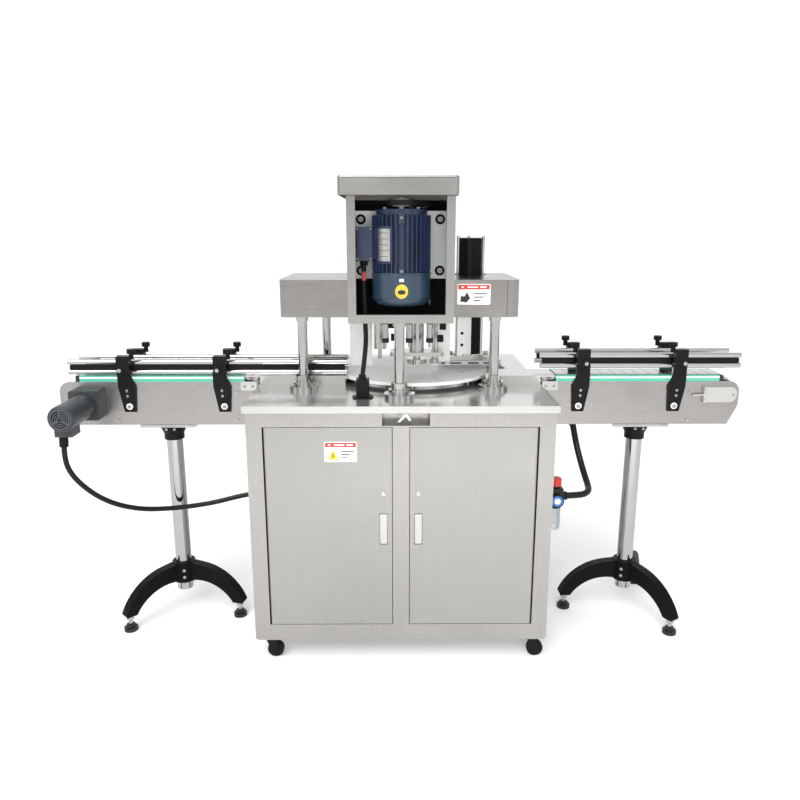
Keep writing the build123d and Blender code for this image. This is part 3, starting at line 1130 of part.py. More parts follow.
with BuildPart() as tripod_bases:
    for side, leg_x in LEG_X.items():
        upright(leg_x, LANE_Y, HUB_Z, HUB_OUTER_RADIUS)
        for turn in range(TRIPOD_ARMS):
            angle = FOOT_ANGLES[side] + turn * ARM_TURN
            arm_plane = Plane(origin=(leg_x, LANE_Y, 0), x_dir=(cos(radians(angle)), sin(radians(angle)), 0),
                              z_dir=(sin(radians(angle)), -cos(radians(angle)), 0))
            with BuildSketch(arm_plane):
                with BuildLine():
                    top_line = Line((ARM_ROOT, HUB_Z[1]), ARM_SHOULDER)
                    ThreePointArc(top_line @ 1, ARM_TOP_MIDDLE, ARM_TIP)
                    Polyline(ARM_TIP, (FOOT_CIRCLE + FOOT_BOSS[1], FOOT_TOP),
                             (FOOT_CIRCLE - FOOT_BOSS[0], FOOT_TOP))
                    ThreePointArc((FOOT_CIRCLE - FOOT_BOSS[0], FOOT_TOP), ARM_UNDER_MIDDLE, ARM_UNDER_ROOT)
                    Polyline(ARM_UNDER_ROOT, (ARM_ROOT, HUB_Z[0] + ARM_ROOT_RISE), (ARM_ROOT, HUB_Z[1]))
                make_face()
            extrude(amount=ARM_HALF_THICKNESS, both=True)
        upright(leg_x, LANE_Y, HUB_Z, LEG_TUBE_RADIUS + WELD_GAP, mode=Mode.SUBTRACT)
tripod_bases.part.label = "tripod_bases"
export_step(tripod_bases.part, "parts/tripod_bases.step")

with BuildPart() as levelling_feet:
    for side, leg_x in LEG_X.items():
        for turn in range(TRIPOD_ARMS):
            angle = radians(FOOT_ANGLES[side] + turn * ARM_TURN)
            foot_x = leg_x + FOOT_CIRCLE * cos(angle)
            foot_y = LANE_Y + FOOT_CIRCLE * sin(angle)
            upright(foot_x, foot_y, (PAD_TIERS[0], PAD_TIERS[1]), PAD_RADIUS)
            upright(foot_x, foot_y, (PAD_TIERS[1], PAD_TIERS[2]), PAD_NECK_RADIUS)
            upright(foot_x, foot_y, (PAD_TIERS[2], FOOT_TOP - WELD_GAP), STEM_RADIUS)
            upright(foot_x, foot_y, (FOOT_TOP - NUT_HEIGHT, FOOT_TOP - WELD_GAP), NUT_RADIUS)
levelling_feet.part.label = "levelling_feet"
export_step(levelling_feet.part, "parts/levelling_feet.step")


# ---- filter regulator on the right side of the cabinet: body, gauge, bowl and bracket -----------
REGULATOR_X = 474
REGULATOR_Y = FRONT_Y + 120
REGULATOR_BODY_Z = (476, 526)
REGULATOR_HALF = 21
BOWL_RADIUS = 19
BOWL_BOTTOM = 386
GAUGE_RADIUS = 20
GAUGE_Z = 492
GAUGE_DEPTH = 16
REGULATOR_NECK_HALF = 16
REGULATOR_CROWN_RADIUS = 13
REGULATOR_CROWN_HEIGHT = 6
BOWL_ROUNDING = 8
INLET_Z = 500
INLET_DEPTH = 12
REGULATOR_KNOB_RADIUS = 17
REGULATOR_KNOB_Z = (REGULATOR_BODY_Z[1] + 6.4, REGULATOR_BODY_Z[1] + 30)
REGULATOR_KNOB_EDGE = 4
INLET_RADIUS = 6.6

with BuildPart() as filter_regulator:
    block((REGULATOR_X - REGULATOR_HALF, REGULATOR_X + REGULATOR_HALF),
          (REGULATOR_Y - REGULATOR_HALF, REGULATOR_Y + REGULATOR_HALF), REGULATOR_BODY_Z)
    block((CABINET_HALF_WIDTH + WELD_GAP, REGULATOR_X),
          (REGULATOR_Y - REGULATOR_NECK_HALF, REGULATOR_Y + REGULATOR_NECK_HALF),
          REGULATOR_BODY_Z)
    upright(REGULATOR_X, REGULATOR_Y, (BOWL_BOTTOM, REGULATOR_BODY_Z[0]), BOWL_RADIUS)
    fillet(filter_regulator.edges().group_by(Axis.Z)[0], radius=BOWL_ROUNDING)
    upright(REGULATOR_X, REGULATOR_Y, (REGULATOR_BODY_Z[1], REGULATOR_BODY_Z[1] + REGULATOR_CROWN_HEIGHT),
            REGULATOR_CROWN_RADIUS)
    gauge_back = REGULATOR_Y - REGULATOR_HALF
    rod((REGULATOR_X, gauge_back, GAUGE_Z), (REGULATOR_X, gauge_back - GAUGE_DEPTH, GAUGE_Z), GAUGE_RADIUS)
    inlet_y = REGULATOR_Y + REGULATOR_HALF
    rod((REGULATOR_X, inlet_y - INLET_DEPTH, INLET_Z), (REGULATOR_X, inlet_y, INLET_Z), INLET_RADIUS,
        mode=Mode.SUBTRACT)
filter_regulator.part.label = "filter_regulator"
export_step(filter_regulator.part, "parts/filter_regulator.step")

with BuildPart() as regulator_knob:
    upright(REGULATOR_X, REGULATOR_Y, REGULATOR_KNOB_Z, REGULATOR_KNOB_RADIUS)
    fillet(regulator_knob.edges().group_by(Axis.Z)[-1], radius=REGULATOR_KNOB_EDGE)
regulator_knob.part.label = "regulator_knob"
export_step(regulator_knob.part, "parts/regulator_knob.step")


# ---- cords: gearmotor cable, main motor conduit and the air hose of the outfeed conveyor --------
CABLE_RADIUS = 8
CONDUIT_RADIUS = 7
HOSE_RADIUS = 10
GEARMOTOR_CABLE_ROUTE = [
    (-1012, -310, 658), (-1014, -312, 614), (-1000, -306, 566), (-972, -290, 520), (-936, -268, 477),
    (-890, -238, 440), (-832, -200, 412), (-762, -160, 398), (-690, -132, 396), (-620, -114, 402),
    (-556, -104, 416), (-506, -100, 426), (-468, -99, 428),
]
CONDUIT_ROUTE = [
    (CONDUIT_X, CONDUIT_Y, TERMINAL_Z[0] - 16), (CONDUIT_X - 1, CONDUIT_Y, 1148), (CONDUIT_X + 1,
                                                                                   CONDUIT_Y - 2, 1092),
    (CONDUIT_X + 2, CONDUIT_Y - 6, 1034), (CONDUIT_X + 5, CONDUIT_Y - 14, 978), (CONDUIT_X, CONDUIT_Y - 25,
                                                                                 926),
    (CONDUIT_X - 6, CONDUIT_Y - 30, 878),
]
HOSE_ROUTE = [
    (571, -92, 664), (577, -97, 632), (582, -113, 598), (587, -139, 566), (591, -170, 538), (593, -205, 517),
    (593, -240, 504), (587, -271, 499), (569, -296, 498), (541, -310, 499), (509, -310, 498),
]

gearmotor_cable = cord_tube("gearmotor_cable", GEARMOTOR_CABLE_ROUTE, CABLE_RADIUS)
gearmotor_cable.part.label = "gearmotor_cable"
export_step(gearmotor_cable.part, "parts/gearmotor_cable.step")
motor_conduit = cord_tube("motor_conduit", CONDUIT_ROUTE, CONDUIT_RADIUS)
motor_conduit.part.label = "motor_conduit"
export_step(motor_conduit.part, "parts/motor_conduit.step")
air_hose = cord_tube("air_hose", HOSE_ROUTE, HOSE_RADIUS)
air_hose.part.label = "air_hose"
export_step(air_hose.part, "parts/air_hose.step")


# ---- cable glands: sockets that the cords leave by and go into, and the conduit's deck socket ---
GLAND_RADIUS = 13
DECK_SOCKET_HALF = 19
DECK_SOCKET_FLANGE = 31
GLANDED_ROUTES = (
    (GEARMOTOR_CABLE_ROUTE, 33, 27, GLAND_RADIUS),
    (CONDUIT_ROUTE, 15, 14, GLAND_RADIUS - 2),
    (HOSE_ROUTE, 15, 10, GLAND_RADIUS),
)
DECK_SOCKET_Z = (DECK_TOP, DECK_TOP + 4, DECK_TOP + 56)
DECK_SOCKET_CORNER = 4
conduit_foot = CONDUIT_ROUTE[-1]


def gland(route, length, radius):
    """A round socket behind the first point of a cord's route."""
    mouth = Vector(*route[0])
    inward = (mouth - Vector(*route[1])).normalized()
    rod(tuple(mouth), tuple(mouth + inward * length), radius)


with BuildPart() as cable_glands:
    for route, start_length, end_length, radius in GLANDED_ROUTES:
        gland(route, start_length, radius)
        gland(route[::-1], end_length, radius)
    upright(conduit_foot[0], conduit_foot[1], (DECK_SOCKET_Z[0], DECK_SOCKET_Z[1]), DECK_SOCKET_FLANGE)
    rounded_block((conduit_foot[0] - DECK_SOCKET_HALF, conduit_foot[0] + DECK_SOCKET_HALF),
                  (conduit_foot[1] - DECK_SOCKET_HALF, conduit_foot[1] + DECK_SOCKET_HALF),
                  (DECK_SOCKET_Z[1], DECK_SOCKET_Z[2]), DECK_SOCKET_CORNER)
cable_glands.part.label = "cable_glands"
export_step(cable_glands.part, "parts/cable_glands.step")


# ---- fasteners: column flange bolts, jacking bolts, side plate screws and tripod clamp bolts ----
COLUMN_BOLT_CIRCLE = 39
COLUMN_BOLT_HEIGHT = 7
COLUMN_BOLT_RADIUS = 5.5
COLUMN_BOLT_START = 45
JACKING_LENGTH = 12
JACKING_RADIUS = 9
PLATE_SCREW_HEIGHT = 4
PLATE_SCREW_RADIUS = 5
CLAMP_BOLT_Z = (HUB_Z[0] + 24, HUB_Z[1] - 22)
CLAMP_BOLT_REACH = (HUB_OUTER_RADIUS + 0.5, HUB_OUTER_RADIUS + 7)
CLAMP_BOLT_RADIUS = 5
JACKING_X = 118
JACKING_Z = (MOTOR_PLATE_Z[0] + 24, MOTOR_PLATE_Z[1] - 24)
PLATE_SCREW_X = {"left": (522, 906), "right": (470, 926)}
PLATE_SCREW_Z = (DECK_TOP - 116, DECK_TOP - 24)
CLAMP_BOLT_ANGLES = {"left": 285, "right": 241}

with BuildPart() as fasteners:
    for x, y in COLUMN_PLACES:
        with BuildSketch(Plane.XY.offset(DECK_TOP + COLUMN_FLANGE_HEIGHT + WELD_GAP)):
            with Locations((x, y)):
                with PolarLocations(COLUMN_BOLT_CIRCLE, COLUMN_BOLTS, start_angle=COLUMN_BOLT_START):
                    RegularPolygon(COLUMN_BOLT_RADIUS, HEXAGON)
        extrude(amount=COLUMN_BOLT_HEIGHT)
    for x in (-JACKING_X, JACKING_X):
        for z in JACKING_Z:
            hexagon_head((x, motor_plate_y[0] - WELD_GAP, z), (x, motor_plate_y[0] - JACKING_LENGTH, z),
                         JACKING_RADIUS)
    for name, side in SIDES.items():
        for x in PLATE_SCREW_X[name]:
            for z in PLATE_SCREW_Z:
                rod((side * x, lane_front - WELD_GAP, z), (side * x, lane_front - PLATE_SCREW_HEIGHT, z),
                    PLATE_SCREW_RADIUS)
                rod((side * x, lane_back + WELD_GAP, z), (side * x, lane_back + PLATE_SCREW_HEIGHT, z),
                    PLATE_SCREW_RADIUS)
        outward = Vector(cos(radians(CLAMP_BOLT_ANGLES[name])), sin(radians(CLAMP_BOLT_ANGLES[name])))
        for z in CLAMP_BOLT_Z:
            hub_axis = Vector(LEG_X[name], LANE_Y, z)
            rod(tuple(hub_axis + outward * CLAMP_BOLT_REACH[0]),
                tuple(hub_axis + outward * CLAMP_BOLT_REACH[1]),
                CLAMP_BOLT_RADIUS)
fasteners.part.label = "fasteners"
export_step(fasteners.part, "parts/fasteners.step")
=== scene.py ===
"""Looks of the capping machine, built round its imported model, in metres."""

import math

import bmesh
import bpy
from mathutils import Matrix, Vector


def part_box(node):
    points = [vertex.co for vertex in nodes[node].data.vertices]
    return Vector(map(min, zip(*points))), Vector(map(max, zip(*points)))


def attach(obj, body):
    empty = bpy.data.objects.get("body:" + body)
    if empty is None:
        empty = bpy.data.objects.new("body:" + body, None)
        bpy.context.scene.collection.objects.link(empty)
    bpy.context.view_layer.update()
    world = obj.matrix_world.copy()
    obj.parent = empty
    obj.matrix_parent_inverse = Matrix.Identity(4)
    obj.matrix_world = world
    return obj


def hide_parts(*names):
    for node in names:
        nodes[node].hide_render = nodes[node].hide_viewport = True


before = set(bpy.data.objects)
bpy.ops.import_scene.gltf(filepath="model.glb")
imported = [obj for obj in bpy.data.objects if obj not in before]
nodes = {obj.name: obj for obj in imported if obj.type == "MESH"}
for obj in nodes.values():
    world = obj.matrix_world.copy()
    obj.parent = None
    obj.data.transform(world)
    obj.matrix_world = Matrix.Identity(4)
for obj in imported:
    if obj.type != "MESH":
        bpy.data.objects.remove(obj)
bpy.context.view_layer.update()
scene = bpy.context.scene

# ---------------------------------------------------------------------------
# Camera and studio.
# A white room: pale floor, a soft high sun and a sky whose greys vary round
# the horizon, so that polished steel has something to mirror.
# ---------------------------------------------------------------------------
CAMERA_PLACE = (-0.0154, -2.4037, 1.2989)
CAMERA_TILT = math.radians(76.6)
CAMERA_TURN = math.radians(-0.36)
CAMERA_LENS = 32.625
FLOOR_REACH = 60.0

camera_data = bpy.data.cameras.new("studio_camera")
camera_data.lens = CAMERA_LENS
camera_data.sensor_width = 36.0
camera_data.clip_end = 200.0
camera = bpy.data.objects.new("studio_camera", camera_data)
camera.location = CAMERA_PLACE
camera.rotation_euler = (CAMERA_TILT, 0.0, CAMERA_TURN)
scene.collection.objects.link(camera)
scene.camera = camera
scene.view_settings.view_transform = "Standard"

floor_mesh = bpy.data.meshes.new("studio_floor")
floor_mesh.from_pydata(
    [(sx * FLOOR_REACH, sy * FLOOR_REACH, 0.0) for sx, sy in ((-1, -1), (1, -1), (1, 1), (-1, 1))],
    [],
    [(0, 1, 2, 3)],
)
studio_floor = bpy.data.objects.new("studio_floor", floor_mesh)
scene.collection.objects.link(studio_floor)
floor_paint = bpy.data.materials.new("pale_floor")
floor_paint.use_nodes = True
floor_shader = floor_paint.node_tree.nodes["Principled BSDF"]
floor_shader.inputs["Base Color"].default_value = (0.93, 0.93, 0.93, 1.0)
floor_shader.inputs["Roughness"].default_value = 0.9
floor_shader.inputs["Specular IOR Level"].default_value = 0.1
floor_shader.inputs["Emission Color"].default_value = (1.0, 1.0, 1.0, 1.0)
floor_shader.inputs["Emission Strength"].default_value = 0.10
floor_seen = floor_paint.node_tree.nodes.new("ShaderNodeLightPath")
floor_tone = floor_paint.node_tree.nodes.new("ShaderNodeMix")
floor_tone.data_type = "RGBA"
floor_tone.inputs[6].default_value = (0.62, 0.615, 0.60, 1.0)
floor_tone.inputs[7].default_value = (0.94, 0.94, 0.94, 1.0)
floor_paint.node_tree.links.new(floor_seen.outputs["Is Camera Ray"], floor_tone.inputs[0])
floor_paint.node_tree.links.new(floor_tone.outputs[2], floor_shader.inputs["Base Color"])
floor_mesh.materials.append(floor_paint)

world = bpy.data.worlds.new("studio_sky")
scene.world = world
world.use_nodes = True
sky = world.node_tree
sky.nodes.clear()
sky_out = sky.nodes.new("ShaderNodeOutputWorld")
sky_seen = sky.nodes.new("ShaderNodeBackground")
sky_lit = sky.nodes.new("ShaderNodeBackground")
sky_mix = sky.nodes.new("ShaderNodeMixShader")
sky_path = sky.nodes.new("ShaderNodeLightPath")
sky_way = sky.nodes.new("ShaderNodeTexCoord")
sky_parts = sky.nodes.new("ShaderNodeSeparateXYZ")
sky_angle = sky.nodes.new("ShaderNodeMath")
sky_turn = sky.nodes.new("ShaderNodeMapRange")
sky_bands = sky.nodes.new("ShaderNodeValToRGB")
sky_rise = sky.nodes.new("ShaderNodeValToRGB")
sky_tint = sky.nodes.new("ShaderNodeMix")
sky_tint.data_type = "RGBA"
sky_tint.blend_type = "MULTIPLY"
sky_tint.inputs["Factor"].default_value = 1.0
sky_angle.operation = "ARCTAN2"
sky_turn.inputs["From Min"].default_value = -math.pi
sky_turn.inputs["From Max"].default_value = math.pi
sky_seen.inputs["Color"].default_value = (1.0, 1.0, 1.0, 1.0)
sky_seen.inputs["Strength"].default_value = 1.05
sky_lit.inputs["Strength"].default_value = 1.0
SKY_BANDS = (
    (0.00, 0.50), (0.07, 0.98), (0.13, 0.22), (0.19, 0.92), (0.27, 0.12), (0.34, 0.86), (0.42, 1.05),
    (0.50, 0.95), (0.58, 1.05), (0.66, 0.80), (0.73, 0.12), (0.81, 0.95), (0.87, 0.22), (0.93, 0.98),
    (1.00, 0.50),
)
while len(sky_bands.color_ramp.elements) < len(SKY_BANDS):
    sky_bands.color_ramp.elements.new(0.5)
for stop, (place, grey) in zip(sky_bands.color_ramp.elements, SKY_BANDS):
    stop.position = place
    stop.color = (grey, grey * 0.99, grey * 0.975, 1.0)
sky_rise.color_ramp.elements[0].position = 0.0
sky_rise.color_ramp.elements[0].color = (0.92, 0.92, 0.92, 1.0)
sky_rise.color_ramp.elements[1].position = 0.55
sky_rise.color_ramp.elements[1].color = (1.05, 1.05, 1.08, 1.0)
sky.links.new(sky_way.outputs["Generated"], sky_parts.inputs["Vector"])
sky.links.new(sky_parts.outputs["X"], sky_angle.inputs[0])
sky.links.new(sky_parts.outputs["Y"], sky_angle.inputs[1])
sky.links.new(sky_angle.outputs["Value"], sky_turn.inputs["Value"])
sky.links.new(sky_turn.outputs["Result"], sky_bands.inputs["Fac"])
sky.links.new(sky_parts.outputs["Z"], sky_rise.inputs["Fac"])
sky.links.new(sky_bands.outputs["Color"], sky_tint.inputs["A"])
sky.links.new(sky_rise.outputs["Color"], sky_tint.inputs["B"])
sky.links.new(sky_tint.outputs["Result"], sky_lit.inputs["Color"])
sky.links.new(sky_path.outputs["Is Camera Ray"], sky_mix.inputs["Fac"])
sky.links.new(sky_lit.outputs["Background"], sky_mix.inputs[1])
sky.links.new(sky_seen.outputs["Background"], sky_mix.inputs[2])
sky.links.new(sky_mix.outputs["Shader"], sky_out.inputs["Surface"])

sun_data = bpy.data.lights.new("soft_sun", "SUN")
sun_data.energy = 1.5
sun_data.angle = math.radians(40.0)
sun = bpy.data.objects.new("soft_sun", sun_data)
sun.rotation_euler = (math.radians(32.0), math.radians(-18.0), 0.0)
scene.collection.objects.link(sun)

softbox_data = bpy.data.lights.new("front_softbox", "AREA")
softbox_data.shape = "RECTANGLE"
softbox_data.size = 2.6
softbox_data.size_y = 1.4
softbox_data.energy = 34.0
softbox = bpy.data.objects.new("front_softbox", softbox_data)
softbox.location = (-1.6, -3.4, 2.8)
softbox.rotation_euler = (Vector((0.0, -0.2, 1.0)) - softbox.location).to_track_quat("-Z", "Y").to_euler()
softbox.visible_glossy = False
scene.collection.objects.link(softbox)

fill_data = bpy.data.lights.new("low_fill", "AREA")
fill_data.shape = "RECTANGLE"
fill_data.size = 2.2
fill_data.size_y = 1.2
fill_data.energy = 75.0
fill = bpy.data.objects.new("low_fill", fill_data)
fill.location = (0.5, -3.6, 1.15)
fill.rotation_euler = (Vector((0.0, -0.2, 1.1)) - fill.location).to_track_quat("-Z", "Y").to_euler()
fill.visible_glossy = False
scene.collection.objects.link(fill)


# ---------------------------------------------------------------------------
# Cords: gearmotor cable, motor conduit, air hose.
# Extruded rubber and vinyl jackets over copper or air line, each held by a
# gland at both ends and hanging freely between them.
# ---------------------------------------------------------------------------
def node_group(name, inputs, outputs):
    """A shader node group with its named inputs and outputs."""
    group = bpy.data.node_groups.new(name, "ShaderNodeTree")
    for label, kind, value in inputs:
        made = group.interface.new_socket(label, in_out="INPUT", socket_type=kind)
        made.default_value = value
    for label, kind in outputs:
        group.interface.new_socket(label, in_out="OUTPUT", socket_type=kind)
    return group, group.nodes.new("NodeGroupInput"), group.nodes.new("NodeGroupOutput")


VECTOR = "NodeSocketVector"
FLOAT = "NodeSocketFloat"


def grain_group():
    """Drawn-out noise for brushing, with slower smudges over it."""
    group, given, put = node_group(
        "drawn_grain",
        [
            ("Place", VECTOR, (0, 0, 0)), ("Stretch", VECTOR, (1, 1, 1)), ("Fineness", FLOAT, 400.0),
            ("Smudge Scale", FLOAT, 6.0)
        ],
        [("Grain", FLOAT), ("Smudge", FLOAT), ("Height", FLOAT)],
    )
    drawn = group.nodes.new("ShaderNodeVectorMath")
    drawn.operation = "MULTIPLY"
    fine = group.nodes.new("ShaderNodeTexNoise")
    fine.inputs["Detail"].default_value = 3.0
    slow = group.nodes.new("ShaderNodeTexNoise")
    slow.inputs["Detail"].default_value = 4.0
    slow.inputs["Roughness"].default_value = 0.6
    raised = group.nodes.new("ShaderNodeMath")
    raised.operation = "MULTIPLY_ADD"
    raised.inputs[1].default_value = 0.8
    softened = group.nodes.new("ShaderNodeMath")
    softened.operation = "MULTIPLY"
    softened.inputs[1].default_value = 0.2
    links = group.links
    links.new(given.outputs["Place"], drawn.inputs[0])
    links.new(given.outputs["Stretch"], drawn.inputs[1])
    links.new(drawn.outputs["Vector"], fine.inputs["Vector"])
    links.new(given.outputs["Fineness"], fine.inputs["Scale"])
    links.new(given.outputs["Place"], slow.inputs["Vector"])
    links.new(given.outputs["Smudge Scale"], slow.inputs["Scale"])
    links.new(fine.outputs["Fac"], raised.inputs[0])
    links.new(slow.outputs["Fac"], softened.inputs[0])
    links.new(softened.outputs["Value"], raised.inputs[2])
    links.new(fine.outputs["Fac"], put.inputs["Grain"])
    links.new(slow.outputs["Fac"], put.inputs["Smudge"])
    links.new(raised.outputs["Value"], put.inputs["Height"])
    return group


def zone_group():
    """A mask that is one inside a box between Low and High."""
    group, given, put = node_group(
        "zone_box",
        [("Place", VECTOR, (0, 0, 0)), ("Low", VECTOR, (0, 0, 0)), ("High", VECTOR, (1, 1, 1))],
        [("Mask", FLOAT)],
    )
    above = group.nodes.new("ShaderNodeVectorMath")
    above.operation = "SUBTRACT"
    below = group.nodes.new("ShaderNodeVectorMath")
    below.operation = "SUBTRACT"
    nearest = group.nodes.new("ShaderNodeVectorMath")
    nearest.operation = "MINIMUM"
    split = group.nodes.new("ShaderNodeSeparateXYZ")
    least = group.nodes.new("ShaderNodeMath")
    least.operation = "MINIMUM"
    last = group.nodes.new("ShaderNodeMath")
    last.operation = "MINIMUM"
    inside = group.nodes.new("ShaderNodeMath")
    inside.operation = "GREATER_THAN"
    inside.inputs[1].default_value = 0.0
    links = group.links
    links.new(given.outputs["Place"], above.inputs[0])
    links.new(given.outputs["Low"], above.inputs[1])
    links.new(given.outputs["High"], below.inputs[0])
    links.new(given.outputs["Place"], below.inputs[1])
    links.new(above.outputs["Vector"], nearest.inputs[0])
    links.new(below.outputs["Vector"], nearest.inputs[1])
    links.new(nearest.outputs["Vector"], split.inputs["Vector"])
    links.new(split.outputs["X"], least.inputs[0])
    links.new(split.outputs["Y"], least.inputs[1])
    links.new(least.outputs["Value"], last.inputs[0])
    links.new(split.outputs["Z"], last.inputs[1])
    links.new(last.outputs["Value"], inside.inputs[0])
    links.new(inside.outputs["Value"], put.inputs["Mask"])
    return group


DRAWN_GRAIN = grain_group()
ZONE_BOX = zone_group()
EVERYWHERE = 9.0


def finish_of(
    name,
    colour,
    rough,
    metal=0.0,
    stretch=(1.0, 1.0, 1.0),
    fineness=300.0,
    smudge_scale=6.0,
    spread=0.12,
    rough_spread=0.15,
    bump=0.15,
    depth=0.0002,
    coat=0.0,
    gloss=0.5,
    zones=(),
):
    """A procedural material: one finish, and others inside the boxes of zones."""
    mat = bpy.data.materials.new(name)
    mat.use_nodes = True
    tree = mat.node_tree
    shader = tree.nodes["Principled BSDF"]
    where = tree.nodes.new("ShaderNodeTexCoord")
    grain = tree.nodes.new("ShaderNodeGroup")
    grain.node_tree = DRAWN_GRAIN
    grain.inputs["Stretch"].default_value = stretch
    grain.inputs["Fineness"].default_value = fineness
    grain.inputs["Smudge Scale"].default_value = smudge_scale
    tree.links.new(where.outputs["Object"], grain.inputs["Place"])

    def toned(shade):
        """The colour, darker and lighter with grain and smudges."""
        ramp = tree.nodes.new("ShaderNodeValToRGB")
        ramp.color_ramp.elements[0].position = 0.3
        ramp.color_ramp.elements[1].position = 0.7
        ramp.color_ramp.elements[0].color = (*[channel * (1 - spread) for channel in shade], 1.0)
        ramp.color_ramp.elements[1].color = (*[min(1.0, channel * (1 + spread)) for channel in shade], 1.0)
        both = tree.nodes.new("ShaderNodeMath")
        both.operation = "MULTIPLY_ADD"
        both.inputs[1].default_value = 0.35
        halved = tree.nodes.new("ShaderNodeMath")
        halved.operation = "MULTIPLY"
        halved.inputs[1].default_value = 0.65
        tree.links.new(grain.outputs["Smudge"], halved.inputs[0])
        tree.links.new(grain.outputs["Grain"], both.inputs[0])
        tree.links.new(halved.outputs["Value"], both.inputs[2])
        tree.links.new(both.outputs["Value"], ramp.inputs["Fac"])
        return ramp.outputs["Color"]

    def ranged(value):
        """The roughness, varied with the smudges."""
        span = tree.nodes.new("ShaderNodeMapRange")
        span.inputs["From Min"].default_value = 0.3
        span.inputs["From Max"].default_value = 0.7
        span.inputs["To Min"].default_value = value * (1 - rough_spread)
        span.inputs["To Max"].default_value = value * (1 + rough_spread)
        tree.links.new(grain.outputs["Smudge"], span.inputs["Value"])
        return span.outputs["Result"]

    tint = toned(colour)
    matt = ranged(rough)
    metalness = None
    for low, high, zone_colour, zone_rough, zone_metal in zones:
        box = tree.nodes.new("ShaderNodeGroup")
        box.node_tree = ZONE_BOX
        box.inputs["Low"].default_value = [-EVERYWHERE if v is None else v for v in low]
        box.inputs["High"].default_value = [EVERYWHERE if v is None else v for v in high]
        tree.links.new(where.outputs["Object"], box.inputs["Place"])
        mixed = tree.nodes.new("ShaderNodeMix")
        mixed.data_type = "RGBA"
        tree.links.new(box.outputs["Mask"], mixed.inputs[0])
        tree.links.new(tint, mixed.inputs[6])
        tree.links.new(toned(zone_colour), mixed.inputs[7])
        tint = mixed.outputs[2]
        mixed_matt = tree.nodes.new("ShaderNodeMix")
        tree.links.new(box.outputs["Mask"], mixed_matt.inputs[0])
        tree.links.new(matt, mixed_matt.inputs[2])
        tree.links.new(ranged(zone_rough), mixed_matt.inputs[3])
        matt = mixed_matt.outputs[0]
        mixed_metal = tree.nodes.new("ShaderNodeMix")
        tree.links.new(box.outputs["Mask"], mixed_metal.inputs[0])
        if metalness is None:
            mixed_metal.inputs[2].default_value = metal
        else:
            tree.links.new(metalness, mixed_metal.inputs[2])
        mixed_metal.inputs[3].default_value = zone_metal
        metalness = mixed_metal.outputs[0]
    tree.links.new(tint, shader.inputs["Base Color"])
    tree.links.new(matt, shader.inputs["Roughness"])
    if metalness is None:
        shader.inputs["Metallic"].default_value = metal
    else:
        tree.links.new(metalness, shader.inputs["Metallic"])
    shader.inputs["Coat Weight"].default_value = coat
    shader.inputs["Coat Roughness"].default_value = 0.08
    shader.inputs["Specular IOR Level"].default_value = gloss
    relief = tree.nodes.new("ShaderNodeBump")
    relief.inputs["Strength"].default_value = bump
    relief.inputs["Distance"].default_value = depth
    tree.links.new(grain.outputs["Height"], relief.inputs["Height"])
    tree.links.new(relief.outputs["Normal"], shader.inputs["Normal"])
    return mat


def link_in(obj):
    scene.collection.objects.link(obj)
    return obj


def hanging_cord(name, route, radius, material):
    """One smooth curve through the cord's own route, with a round jacket."""
    data = bpy.data.curves.new(name, "CURVE")
    data.dimensions = "3D"
    data.bevel_depth = radius
    data.bevel_resolution = 4
    data.resolution_u = 6
    data.use_fill_caps = True
    spline = data.splines.new("NURBS")
    spline.points.add(len(route) - 1)
    for point, place in zip(spline.points, route):
        point.co = (place[0], place[1], place[2], 1.0)
    spline.order_u = 3
    spline.use_endpoint_u = True
    data.materials.append(material)
    return link_in(bpy.data.objects.new(name, data))


black_jacket = finish_of(
    "black_cable_jacket", (0.006, 0.006, 0.007), 0.34, fineness=900.0, smudge_scale=30.0, bump=0.25,
    depth=0.0003, gloss=0.35
)
GEARMOTOR_ROUTE = (
    (-1.012, -0.310, 0.658), (-1.014, -0.312, 0.614), (-1.000, -0.306, 0.566), (-0.972, -0.290, 0.520),
    (-0.936, -0.268, 0.477), (-0.890, -0.238, 0.440), (-0.832, -0.200, 0.412), (-0.762, -0.160, 0.398),
    (-0.690, -0.132, 0.396), (-0.620, -0.114, 0.402), (-0.556, -0.104, 0.416), (-0.506, -0.100, 0.426),
    (-0.468, -0.099, 0.428),
)
gearmotor_lead = hanging_cord("gearmotor_lead", GEARMOTOR_ROUTE, 0.008, black_jacket)
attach(gearmotor_lead, "machine")
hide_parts("gearmotor_cable")

CONDUIT_ROUTE = (
    (-0.106, -0.286, 1.193), (-0.107, -0.286, 1.148), (-0.105, -0.288, 1.092), (-0.104, -0.292, 1.034),
    (-0.101, -0.300, 0.978), (-0.106, -0.311, 0.926), (-0.112, -0.316, 0.878),
)
conduit_jacket = finish_of(
    "conduit_jacket", (0.008, 0.008, 0.009), 0.42, gloss=0.3, stretch=(1.0, 1.0, 30.0), fineness=12.0,
    smudge_scale=40.0,
    bump=0.5, depth=0.0006,
    zones=[((None, None, 1.150), (None, None, 1.175), (0.42, 0.07, 0.075), 0.45, 0.0)],
)
motor_lead = hanging_cord("motor_lead", CONDUIT_ROUTE, 0.007, conduit_jacket)
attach(motor_lead, "machine")
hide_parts("motor_conduit")

AIR_ROUTE = (
    (0.571, -0.092, 0.664), (0.577, -0.097, 0.632), (0.582, -0.113, 0.598), (0.587, -0.139, 0.566),
    (0.591, -0.170, 0.538), (0.593, -0.205, 0.517), (0.593, -0.240, 0.504), (0.587, -0.271, 0.499),
    (0.569, -0.296, 0.498), (0.541, -0.310, 0.499), (0.509, -0.310, 0.498),
)
air_line = hanging_cord("air_line", AIR_ROUTE, 0.010, black_jacket)
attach(air_line, "machine")
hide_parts("air_hose")


